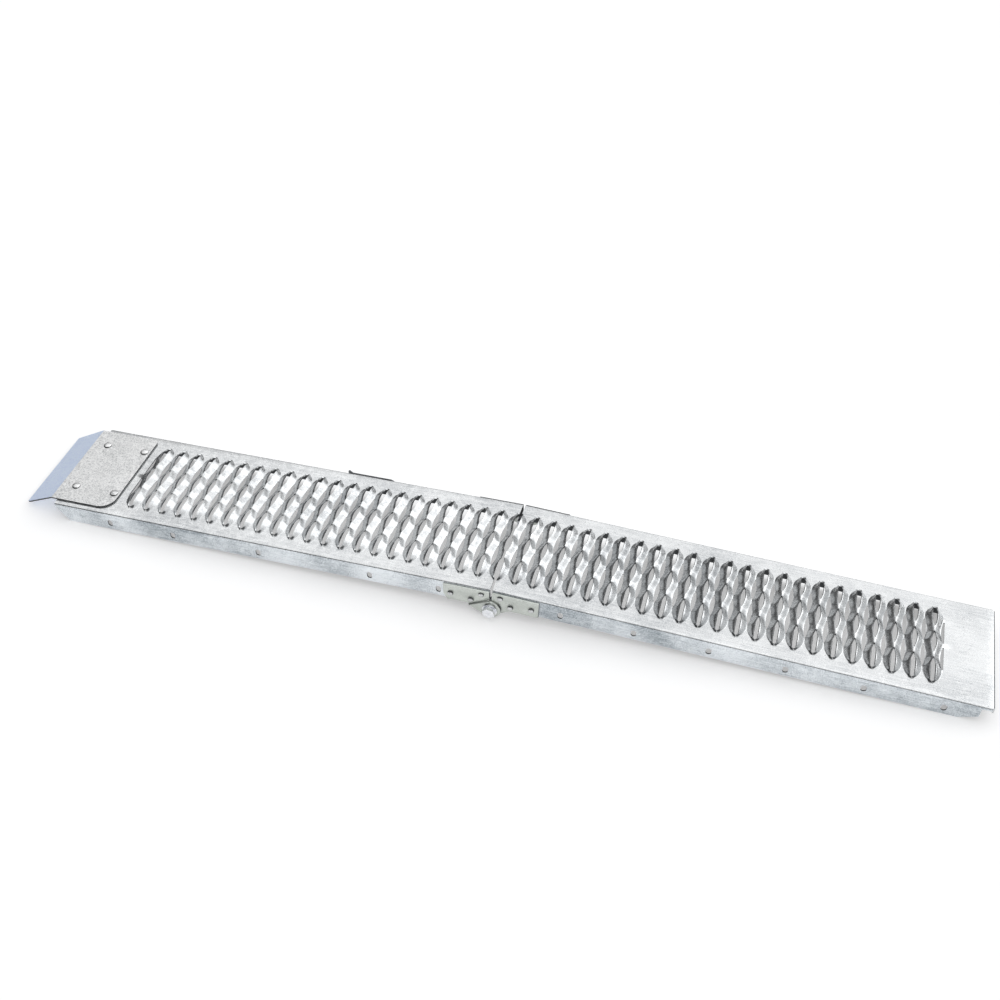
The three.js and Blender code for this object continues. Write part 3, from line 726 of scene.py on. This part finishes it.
def crest_side(edge):
    """One side of one crest, out to the middle of the valley, with the flat deck beyond both its ends."""
    rows = [crest_row(y, edge) for y in TREAD_Y]
    before = [[(x, -y, 0.0) for x, _, _ in rows[0]] for y in reversed(BORDER_Y)]
    after = [[(x, y, 0.0) for x, _, _ in rows[-1]] for y in BORDER_Y]
    return [*before, *rows, *after]


def flat_x(length, columns):
    """Where the flat deck past the tread has points along the ramp."""
    straight = columns * PITCH + HALF_PITCH + END_SLOT_MARGIN
    return stops(straight, length, step=FLAT_STEP)


def deck_sheet(columns, length):
    """The top skin of a deck, running towards +X from the hinge."""
    skin = Skin()
    skin.rows(crest_side(DECK_END_GAP))
    for column in range(1, columns + 1):
        for side in (-1, 1):
            shift = column * PITCH
            skin.rows([[(shift + side * x, y, z) for x, y, z in row] for row in crest_side(0.0)])
    valley = columns * PITCH + HALF_PITCH
    rows = crest_side(0.0)
    places = flat_x(length, columns)
    for pair in zip(rows, rows[1:]):
        skin.between(*([(x, row[0][1], 0.0) for x in places] for row in pair))
        if all(row[-1][0] > HALF_PITCH - SHORTEST_EDGE for row in pair):
            ends = [row[-1] for row in pair]
            skin.between(*([(valley, y, z), (places[0], y, 0.0)] for _, y, z in ends))
    return skin


def edge_x(columns, length):
    """Where the deck's long edges have points, so that the bends and flanges meet them."""
    row = crest_row(CREST_REACH, DECK_END_GAP)
    found = {round(x, 4) for x, _, _ in row}
    plain = [x for x, _, _ in crest_row(CREST_REACH, 0.0)]
    for column in range(1, columns + 1):
        found |= {round(column * PITCH + side * x, 4) for side in (-1, 1) for x in plain}
    return sorted(found | {round(x, 4) for x in flat_x(length, columns)})


def channel_skin(direction, columns, length, flange_outline, holes):
    """Deck, bends and flanges as one skin. The flange outline gives what follows its top edge."""
    skin = deck_sheet(columns, length).moved(lambda p: (p[0], p[1], DECK_TOP + p[2]))
    places = edge_x(columns, length)
    corner = HALF_WIDTH - BEND_RADIUS
    for side in (-1, 1):
        rows = []
        for a in BEND_ANGLES:
            y = side * (corner + BEND_RADIUS * math.sin(a))
            rows.append([(x, y, DECK_TOP - BEND_RADIUS + BEND_RADIUS * math.cos(a)) for x in places])
        skin.rows(rows)
        top = [(x, DECK_TOP - BEND_RADIUS) for x in places]
        flange = filled([*top, *flange_outline], holes)
        skin.join(flange.moved(lambda p: (p[0], side * HALF_WIDTH, p[1])))
    return skin.moved(lambda p: (direction * p[0], p[1], p[2]))


def notch_and_bottom():
    """The flange's cut-out round the pivot, from its bottom edge up to the hinge joint."""
    bottom = math.asin(FLANGE_BOTTOM / NOTCH_RADIUS)
    top = math.acos(DECK_END_GAP / NOTCH_RADIUS)
    return arc(0, 0, NOTCH_RADIUS, bottom, top, 10)


def flange_hole(x):
    """An upright slot with round ends."""
    radius = HOLE_WIDTH / 2
    straight = HOLE_HEIGHT / 2 - radius
    z = DECK_TOP - HOLE_DROP
    top = arc(x, z + straight, radius, 0, math.pi, 12)
    return [*top, *arc(x, z - straight, radius, math.pi, 2 * math.pi, 12)]


def flange_holes(nearest, steps):
    """The slots of one flange, at steps from the one nearest the hinge."""
    return [flange_hole(nearest + step * HOLE_STEP) for step in steps]


def keep_gap(made, half, direction):
    """Moves what the thickening has pushed past the deck's hinge end back to that end."""
    back = half.inverted()
    for point in made.data.vertices:
        at = back @ point.co
        if at.x * direction < DECK_END_GAP:
            at.x = DECK_END_GAP * direction
            point.co = half @ at
    return made


def upper_deck():
    """The half that carries the tongue."""
    bevel = UPPER_LENGTH - UPPER_BEVEL_LENGTH
    outline = [(UPPER_LENGTH, DECK_TOP - UPPER_BEVEL_DROP), (bevel, FLANGE_BOTTOM), *notch_and_bottom()]
    holes = flange_holes(UPPER_HOLE, UPPER_HOLE_STEPS)
    skin = channel_skin(-1, UPPER_COLUMNS, UPPER_LENGTH, outline, holes)
    made = piece("upper_deck", skin, UPPER, thickness=SHEET, sharp=32, inward=(0, 0, -1))
    return keep_gap(made, UPPER, -1)


def lower_deck():
    """The ground half, whose end is bent down."""
    bend = LOWER_LENGTH - BEND_RADIUS
    bevel = LOWER_LENGTH - LOWER_BEVEL_LENGTH
    flange_end = LOWER_LENGTH - LOWER_FLANGE_SETBACK
    under = DECK_TOP - BEND_RADIUS - SHEET
    outline = [
        (bend, under),
        (flange_end, under),
        (flange_end, DECK_TOP - LOWER_BEVEL_DROP),
        (bevel, FLANGE_BOTTOM),
        *notch_and_bottom(),
    ]
    holes = flange_holes(LOWER_HOLE, LOWER_HOLE_STEPS)
    skin = channel_skin(1, LOWER_COLUMNS, bend, outline, holes)
    across = [row[0][1] for row in crest_side(0.0)]
    rows = []
    for a in BEND_ANGLES:
        x = bend + BEND_RADIUS * math.sin(a)
        rows.append([(x, y, DECK_TOP - BEND_RADIUS + BEND_RADIUS * math.cos(a)) for y in across])
    rows.append([(LOWER_LENGTH, y, DECK_TOP - END_LIP_DEPTH) for y in across])
    skin.rows(rows)
    made = piece("lower_deck", skin, LOWER, thickness=SHEET, sharp=32, inward=(0, 0, -1))
    return keep_gap(made, LOWER, 1)


# ---- Tongue ----
def tongue_place(u, y):
    """Folds the flat pattern of the tongue: u runs from the bend towards the hinge, negative on the lip."""
    top = DECK_TOP + CLEARANCE + TONGUE_PLATE
    radius = TONGUE_BEND_RADIUS
    reach = radius * math.tan(LIP_ANGLE / 2)
    if u >= reach:
        return (TONGUE_BEND + u, y, top)
    if u <= -reach:
        return (TONGUE_BEND + u * math.cos(LIP_ANGLE), y, top + u * math.sin(LIP_ANGLE))
    turn = LIP_ANGLE * (reach - u) / (2 * reach)
    x = TONGUE_BEND + reach - radius * math.sin(turn)
    return (x, y, top - radius * (1 - math.cos(turn)))


def tongue_plate():
    """The plate that lies on the load bed, with one large and one small rear corner and a bent lip."""
    side, tip = TONGUE_WIDTH / 2, TONGUE_TIP_WIDTH / 2
    rear = TONGUE_REAR - TONGUE_BEND
    near, far = TONGUE_NEAR_CORNER, TONGUE_FAR_CORNER
    small = TONGUE_TIP_CORNER
    outline = [
        (0, -side),
        *arc(rear - near, near - side, near, -math.pi / 2, 0, 14),
        *arc(rear - far, side - far, far, 0, math.pi / 2, 10),
        (0, side),
        *arc(-LIP_LENGTH + small, tip - small, small, math.pi / 2, math.pi, 5),
        *arc(-LIP_LENGTH + small, small - tip, small, math.pi, 1.5 * math.pi, 5),
    ]
    holes = [ring(x - TONGUE_BEND, y, BOLT_HOLE_RADIUS, 24) for x in TONGUE_BOLT_X for y in TONGUE_BOLT_Y]
    folds = [step * TONGUE_FOLD_STEP for step in range(-3, 4)]
    lines = [((u, -TONGUE_WIDTH), (u, TONGUE_WIDTH)) for u in folds]
    skin = filled(outline, holes, lines).moved(lambda p: tongue_place(p[0], p[1]))
    made = piece("tongue", skin, UPPER, TONGUE_PLATE, TONGUE_ROUNDING, sharp=5, inward=(0, 0, -1))
    stand(made, "upper_half", "galvanised_sheet", TONGUE_METAL, "tongue_plate")
    # The lip's faces get the painted reflection.
    made.data.materials.append(LIP_REFLECTION_METAL)
    bend = (UPPER @ Vector((TONGUE_BEND - TONGUE_FOLD_STEP / 2, 0, 0))).x
    for face in made.data.polygons:
        face.material_index = 1 if face.center.x < bend else 0
    # Painted shade on the tongue's cut edges, together with their own dull tone.
    paint_edges_and_shade(made, 2)


def tongue_bolts():
    """Low domed bolts, with the shank that shows under the deck."""
    seat = DECK_TOP + TONGUE_PLATE + 2 * CLEARANCE
    profile = [
        (0, -BOLT_TAIL),
        (BOLT_RADIUS - 0.4, -BOLT_TAIL),
        (BOLT_RADIUS, 0.6 - BOLT_TAIL),
        (BOLT_RADIUS, 0),
        (BOLT_HEAD_RADIUS - 0.4, 0),
        *dome(BOLT_HEAD_RADIUS, 0.3, BOLT_HEAD_HEIGHT),
    ]
    places = [(x, y) for x in TONGUE_BOLT_X for y in TONGUE_BOLT_Y]
    for number, (x, y) in enumerate(places, 1):
        skin = turned(profile, 36).moved(lambda p: (x + p[0], y + p[1], seat + p[2]))
        made = piece(f"tongue_bolt_head_{number}", skin, UPPER)
        stand(made, "upper_half", "zinc_plated", TONGUE_METAL, f"tongue_bolt_{number}")
        # Painted shade round the rim of the head.
        paint_edges_and_shade(made, 2, ROUND_HEAD_SHADE_LIMIT)


# ---- Hinges ----
def touch_angle(x, z, radius, turn):
    """Where on a lug the straight edge from a point touches it. Turn says on which side."""
    return math.atan2(z, x) + turn * math.acos(radius / math.hypot(x, z))


def joggle_at_z(distance, z):
    """Where a line parallel to the joggle, at a distance from the pivot, has height z."""
    return (z * math.cos(JOGGLE_SLOPE) - distance) / math.sin(JOGGLE_SLOPE)


def upper_plate(side_name, side):
    """The upper hinge plate, whose lug is pressed out along a slanting line, over the lower one's lug."""
    step_low = LOWER_LUG_RADIUS + 2 * CLEARANCE
    step_high = step_low + JOGGLE_LENGTH
    heel = (joggle_at_z(step_high, PLATE_BOTTOM), PLATE_BOTTOM)
    start = touch_angle(*heel, UPPER_LUG_RADIUS, 1) - 2 * math.pi
    outline = [
        (-PLATE_END_GAP, PLATE_TOP),
        (-PLATE_LENGTH, PLATE_TOP),
        (-PLATE_LENGTH, PLATE_BOTTOM + CORNER_CUT[1]),
        (-PLATE_LENGTH + CORNER_CUT[0], PLATE_BOTTOM),
        heel,
        *arc(0, 0, UPPER_LUG_RADIUS, start, math.acos(-PLATE_END_GAP / UPPER_LUG_RADIUS), 36),
    ]
    holes = [ring(-x, z, RIVET_HOLE_RADIUS, 24) for x, z in RIVET_PLACES]
    holes.append(ring(0, 0, PIVOT_HOLE_RADIUS, 32))
    cos, sin = math.cos(JOGGLE_SLOPE), math.sin(JOGGLE_SLOPE)
    distances = [step_low + share * (step_high - step_low) for share in np.linspace(0, 1, 7)]
    lines = [[(x, (distance + x * sin) / cos) for x in JOGGLE_X] for distance in distances]

    def place(p):
        distance = p[1] * cos - p[0] * sin
        share = min(max((step_high - distance) / (step_high - step_low), 0), 1)
        off = PLATE_OUTER + (LUG_OUTER - PLATE_OUTER) * share * share * (3 - 2 * share)
        return (p[0], side * off, p[1])

    skin = filled(outline, holes, lines).moved(place)
    inward = (0, -side, 0)
    made = piece(f"{side_name}_upper_plate", skin, UPPER, HINGE_PLATE, PLATE_ROUNDING, 30, inward)
    stand(made, "upper_half", "galvanised_plate", PLATE_METAL, f"{side_name}_upper_hinge_plate")
    # Painted shade on the plate's cut edges, together with their own dull tone; the near plate's top edge stays
    # unshaded.
    paint_edges_and_shade(made, 1, keep_top=side < 0)


def lower_plate(side_name, side):
    """The lower hinge plate, flat, with its lug against the flange."""
    heel = (2 * LOWER_LUG_RADIUS, PLATE_BOTTOM)
    start = touch_angle(*heel, LOWER_LUG_RADIUS, -1)
    end = math.acos(PLATE_END_GAP / LOWER_LUG_RADIUS) - 2 * math.pi
    outline = [
        (PLATE_END_GAP, PLATE_TOP),
        (PLATE_LENGTH, PLATE_TOP),
        (PLATE_LENGTH, PLATE_BOTTOM),
        heel,
        *arc(0, 0, LOWER_LUG_RADIUS, start, end, 36),
    ]
    holes = [ring(x, z, RIVET_HOLE_RADIUS, 24) for x, z in RIVET_PLACES]
    holes.append(ring(0, 0, BUSH_HOLE_RADIUS, 32))
    skin = filled(outline, holes).moved(lambda p: (p[0], side * PLATE_OUTER, p[1]))
    inward = (0, -side, 0)
    made = piece(f"{side_name}_lower_plate", skin, LOWER, HINGE_PLATE, PLATE_ROUNDING, 30, inward)
    stand(made, "lower_half", "galvanised_plate", PLATE_METAL, f"{side_name}_lower_hinge_plate")
    # Painted shade on the plate's cut edges, together with their own dull tone; the near plate's top edge stays
    # unshaded.
    paint_edges_and_shade(made, 1, keep_top=side < 0)


def rivets(side_name, side):
    """Domed rivets, their low tails against the inside of the flange."""
    foot = PLATE_OUTER + CLEARANCE
    inner = HALF_WIDTH - SHEET - CLEARANCE
    profile = [
        (0, inner - RIVET_TAIL_HEIGHT),
        (RIVET_TAIL_RADIUS - 1.0, inner - RIVET_TAIL_HEIGHT + 0.3),
        (RIVET_TAIL_RADIUS, inner),
        (RIVET_RADIUS, inner),
        (RIVET_RADIUS, foot),
        (RIVET_HEAD_RADIUS - 0.3, foot),
        *dome(RIVET_HEAD_RADIUS, foot + 0.25, foot + RIVET_HEAD_HEIGHT),
    ]
    for half_name, half, direction in (("upper", UPPER, -1), ("lower", LOWER, 1)):
        for number, (x, z) in enumerate(RIVET_PLACES, 1):
            skin = turned(profile, 32).moved(outwards(side, direction * x, z))
            made = piece(f"{side_name}_{half_name}_rivet_head_{number}", skin, half)
            node = f"{side_name}_{half_name}_rivet_{number}"
            stand(made, f"{half_name}_half", "rivet_steel", RIVET_METAL, node)
            # Painted shade round the rim of the head.
            paint_edges_and_shade(made, 1, ROUND_HEAD_SHADE_LIMIT)


def pivot(side_name, side):
    """The hinge bolt, with its chamfered head and its thread, and the washer under the head."""
    washer_at = LUG_OUTER + CLEARANCE
    head_at = washer_at + PIVOT_WASHER_THICKNESS + CLEARANCE
    shank_end = HALF_WIDTH - PIVOT_TAIL
    skin = hex_head(PIVOT_HEAD_FLATS, PIVOT_HEAD_HEIGHT, turn=PIVOT_HEAD_TURN)
    skin.moved(lambda p: (p[0], p[1], p[2] + head_at))
    at = shank_end + THREAD_CHAMFER
    thread = [(0, shank_end), (PIVOT_RADIUS - 0.8, shank_end), (PIVOT_RADIUS, at)]
    while at < shank_end + THREAD_LENGTH:
        thread += [(PIVOT_RADIUS, at), (THREAD_ROOT, at + 0.7), (PIVOT_RADIUS, at + 1.4)]
        at += THREAD_PITCH
    thread += [(PIVOT_RADIUS, head_at + 0.5), (0, head_at + 0.5)]
    skin.join(turned(thread, 32))
    made = piece(f"{side_name}_pivot_bolt_detail", skin.moved(outwards(side)), UPPER)
    stand(made, "upper_half", "zinc_plated", ZINC, f"{side_name}_pivot_bolt")
    hole, rim, top = PIVOT_HOLE_RADIUS, PIVOT_WASHER_RADIUS, PIVOT_WASHER_THICKNESS
    profile = [
        (hole, 0.2),
        (hole, top - 0.2),
        (hole + 0.2, top),
        (rim - 0.4, top),
        (rim, top - 0.4),
        (rim, 0.4),
        (rim - 0.4, 0),
        (hole + 0.2, 0),
        (hole, 0.2),
    ]
    washer = turned([(r, washer_at + h) for r, h in profile], 48).moved(outwards(side))
    made = piece(f"{side_name}_pivot_washer_detail", washer, UPPER)
    stand(made, "upper_half", "zinc_plated", ZINC, f"{side_name}_pivot_outer_washer")


# ---- Transport latch ----
def latch():
    """The swinging strip on the far flange, with a notch for the stud and a bent finger tab."""
    x, z = LATCH_PIVOT
    half = LATCH_WIDTH / 2
    bend = LATCH_REACH - LATCH_TAB * math.cos(LATCH_TAB_ANGLE)
    length = bend + LATCH_TAB
    corner = LATCH_CORNER
    notch = LATCH_NOTCH / 2
    outline = [
        *arc(0, 0, half, math.pi / 2, -math.pi / 2, 24),
        (-LATCH_CATCH_DISTANCE + notch, -half),
        *arc(-LATCH_CATCH_DISTANCE, 0, notch, 0, math.pi, 16),
        (-LATCH_CATCH_DISTANCE - notch, -half),
        *arc(-length + corner, -half + corner, corner, -math.pi / 2, -math.pi, 6),
        *arc(-length + corner, half - corner, corner, math.pi, math.pi / 2, 6),
    ]
    folds = np.linspace(-bend - LATCH_FOLD, -bend + LATCH_FOLD, 5)
    lines = [((u, -LATCH_WIDTH), (u, LATCH_WIDTH)) for u in folds]

    def place(p):
        past = -p[0] - bend
        if past <= 0:
            return (x + p[0], PLATE_INNER, z + p[1])
        out = past * math.sin(LATCH_TAB_ANGLE)
        return (x - bend - past * math.cos(LATCH_TAB_ANGLE), PLATE_INNER + out, z + p[1])

    skin = filled(outline, [ring(0, 0, LATCH_HOLE_RADIUS, 24)], lines).moved(place)
    made = piece("latch_strip", skin, UPPER, LATCH_THICKNESS, LATCH_ROUNDING, 30, inward=(0, 1, 0))
    stand(made, "latch", "dark_steel", DARK_METAL, "transport_latch")


# ---- Everything ----
def finish_cad_nodes():
    """The small CAD nodes that stay get the procedural material of their slot."""
    slot_of = {row["node"]: row["material_slot"] for row in frame["record"]["subparts"]}
    for name, node in frame["nodes"].items():
        node.data.materials.clear()
        node.data.materials.append(MATERIAL_OF_SLOT[slot_of[name]])


def deck_face(at, facing):
    """Which of DECK_METALS a face of a deck has, from its place and direction in the frame of its half.

    Facing is one long, so each number it is compared with is the share that points along that axis.
    """
    side = math.copysign(1, at.y)
    flange = abs(at.y) > HALF_WIDTH - SHEET - 0.5 and at.z < DECK_TOP - BEND_RADIUS / 2
    tread = abs(at.y) < HALF_WIDTH - BEND_RADIUS - SHEET and abs(at.x) < LOWER_LENGTH - 2 * BEND_RADIUS
    ground_end = at.x > LOWER_LENGTH - BEND_RADIUS
    # Painted shade on faces that look down or into the channel.
    if facing.z < -0.3 or (flange and facing.y * side < -0.5):
        return INSIDE_SHADE_FACE
    # The flange's cut edges and slot rims get the edge zinc: partly their own dull tone, partly painted shade.
    if flange:
        return EDGE_AND_SHADE_FACE if abs(facing.y) < 0.4 else FLANGE_FACE
    # Painted shade on the inside of the bent end.
    if ground_end and facing.x < -0.5:
        return INSIDE_SHADE_FACE
    # The tread's slot walls get the edge zinc, partly cut edge and partly painted shade; the bent end's outer face
    # gets painted shade.
    if (tread and abs(facing.z) < 0.45) or (ground_end and facing.x > 0.35):
        return EDGE_AND_SHADE_FACE
    return SHEET_FACE


def paint_deck(made, half):
    """The flanges differ from the deck. Painted shade goes on what faces down and into the channel, on both faces
    of the bent end, and, together with their own dull tone, on the cut edges.
    """
    for metal in DECK_METALS[1:]:
        made.data.materials.append(metal)
    back = half.inverted()
    turn = back.to_3x3().normalized()
    for face in made.data.polygons:
        face.material_index = deck_face(back @ face.center, turn @ face.normal)


def paint_edges_and_shade(made, axis, limit=0.55, keep_top=False):
    """Paints the cut edges of a plate and the rim of a round head darker than the faces along an axis.

    A face belongs to an edge when less than limit of its normal lies along the axis. Keep_top leaves the
    edge that faces up as it is.
    """
    # The dark zinc is painted shade on a round head's rim, and on a plate's cut edges partly their dull tone and
    # partly painted shade.
    made.data.materials.append(EDGE_AND_SHADE_METAL)
    last = len(made.data.materials) - 1
    for face in made.data.polygons:
        kept = keep_top and face.normal.z > 0.7
        if abs(face.normal[axis]) < limit and not kept:
            face.material_index = last


def build():
    """Every piece, on its body and in place of its CAD node."""
    finish_cad_nodes()
    for made, half, body, node in (
        (upper_deck(), UPPER, "upper_half", "upper_deck_channel"),
        (lower_deck(), LOWER, "lower_half", "lower_deck_channel"),
    ):
        stand(made, body, "galvanised_sheet", SHEET_METAL, node)
        paint_deck(made, half)
    tongue_plate()
    tongue_bolts()
    for side_name, side in (("near", -1), ("far", 1)):
        upper_plate(side_name, side)
        lower_plate(side_name, side)
        rivets(side_name, side)
        pivot(side_name, side)
    latch()


# ---- Studio ----
# The surroundings are dark near the horizon and bright overhead: TOWARDS weighs a direction, and CEILING
# gives how bright that weight is. A softbox makes one patch on the far side brighter still. Its two edges
# are how closely a direction has to agree with it. The floor glows a little, as paper lit from below.
TOWARDS = (0.3, 0.2, 1.0)
CEILING = (
    (0.0, 0.02),
    (0.25, 0.06),
    (0.42, 0.11),
    (0.51, 0.30),
    (0.59, 0.92),
    (0.75, 0.78),
    (0.92, 0.74),
    (1.0, 0.95),
)
LIGHT_TINT = (0.985, 0.99, 1.0)
WORLD_STRENGTH = 1.35
SOFTBOX = (0.64, 0.56, 0.52)
SOFTBOX_EDGES = (0.92, 0.967)
SOFTBOX_STRENGTH = 2.7
FLOOR_REACH = 12.0
FLOOR_TONES = (0.73, 0.75)
FLOOR_GLOW = 0.38

SENSOR_WIDTH = 36
LENS_LENGTH = 45.75
LENS_SHIFT = (0.018, -0.0092)
CAMERA_PLACE = (0.3902, -1.3788, 1.4913)
CAMERA_TURN = (47.175, -0.2206, 16.297)


def floor():
    """A pale paper floor, wide enough to fill the photograph's view."""
    mesh = bpy.data.meshes.new("floor")
    corners = [(x * FLOOR_REACH, y * FLOOR_REACH, 0) for x, y in ((-1, -1), (1, -1), (1, 1), (-1, 1))]
    mesh.from_pydata(corners, [], [(0, 1, 2, 3)])
    made = bpy.data.objects.new("floor", mesh)
    bpy.context.scene.collection.objects.link(made)
    n = Nodes("floor_paper")
    tone = n.noise(6, 2)
    low, high = FLOOR_TONES
    colour = n.ramp(tone, (0.2, (low, low, low)), (0.8, (high, high, high)))
    n.shader.inputs["Emission Color"].default_value = (1, 1, 1, 1)
    n.shader.inputs["Emission Strength"].default_value = FLOOR_GLOW
    mesh.materials.append(n.finish(colour, n.span(tone, 0, 1, 0.8, 0.9), 0.0))


def studio():
    """A bright ceiling that falls off towards the horizon, with one soft patch of light on the far side."""
    scene = bpy.context.scene
    world = bpy.data.worlds.new("studio")
    world.use_nodes = True
    tree = world.node_tree
    direction = tree.nodes.new("ShaderNodeTexCoord").outputs["Generated"]

    def along(towards):
        weigh = tree.nodes.new("ShaderNodeVectorMath")
        weigh.operation = "DOT_PRODUCT"
        tree.links.new(direction, weigh.inputs[0])
        weigh.inputs[1].default_value = towards
        return weigh.outputs["Value"]

    ramp = tree.nodes.new("ShaderNodeValToRGB")
    tree.links.new(along(TOWARDS), ramp.inputs[0])
    elements = ramp.color_ramp.elements
    for at, _ in CEILING[:-2]:
        elements.new(at)
    for element, (at, level) in zip(elements, CEILING):
        element.position = at
        element.color = (*(level * tint for tint in LIGHT_TINT), 1)
    softbox = tree.nodes.new("ShaderNodeMapRange")
    tree.links.new(along(SOFTBOX), softbox.inputs["Value"])
    softbox.inputs["From Min"].default_value = SOFTBOX_EDGES[0]
    softbox.inputs["From Max"].default_value = SOFTBOX_EDGES[1]
    softbox.inputs["To Min"].default_value = WORLD_STRENGTH
    softbox.inputs["To Max"].default_value = SOFTBOX_STRENGTH
    background = tree.nodes["Background"]
    tree.links.new(ramp.outputs[0], background.inputs["Color"])
    tree.links.new(softbox.outputs[0], background.inputs["Strength"])
    scene.world = world
    scene.view_settings.view_transform = "Standard"


def camera():
    """The photograph's viewing angle, framed for an image of 1000 by 1000."""
    optics = bpy.data.cameras.new("camera")
    optics.sensor_width = SENSOR_WIDTH
    optics.lens = LENS_LENGTH
    optics.shift_x, optics.shift_y = LENS_SHIFT
    optics.clip_start = 0.05
    made = bpy.data.objects.new("camera", optics)
    made.location = CAMERA_PLACE
    made.rotation_euler = tuple(math.radians(a) for a in CAMERA_TURN)
    bpy.context.scene.collection.objects.link(made)
    bpy.context.scene.camera = made


build()
floor()
studio()
camera()


def plain(box):
    return [list(corner) for corner in box]
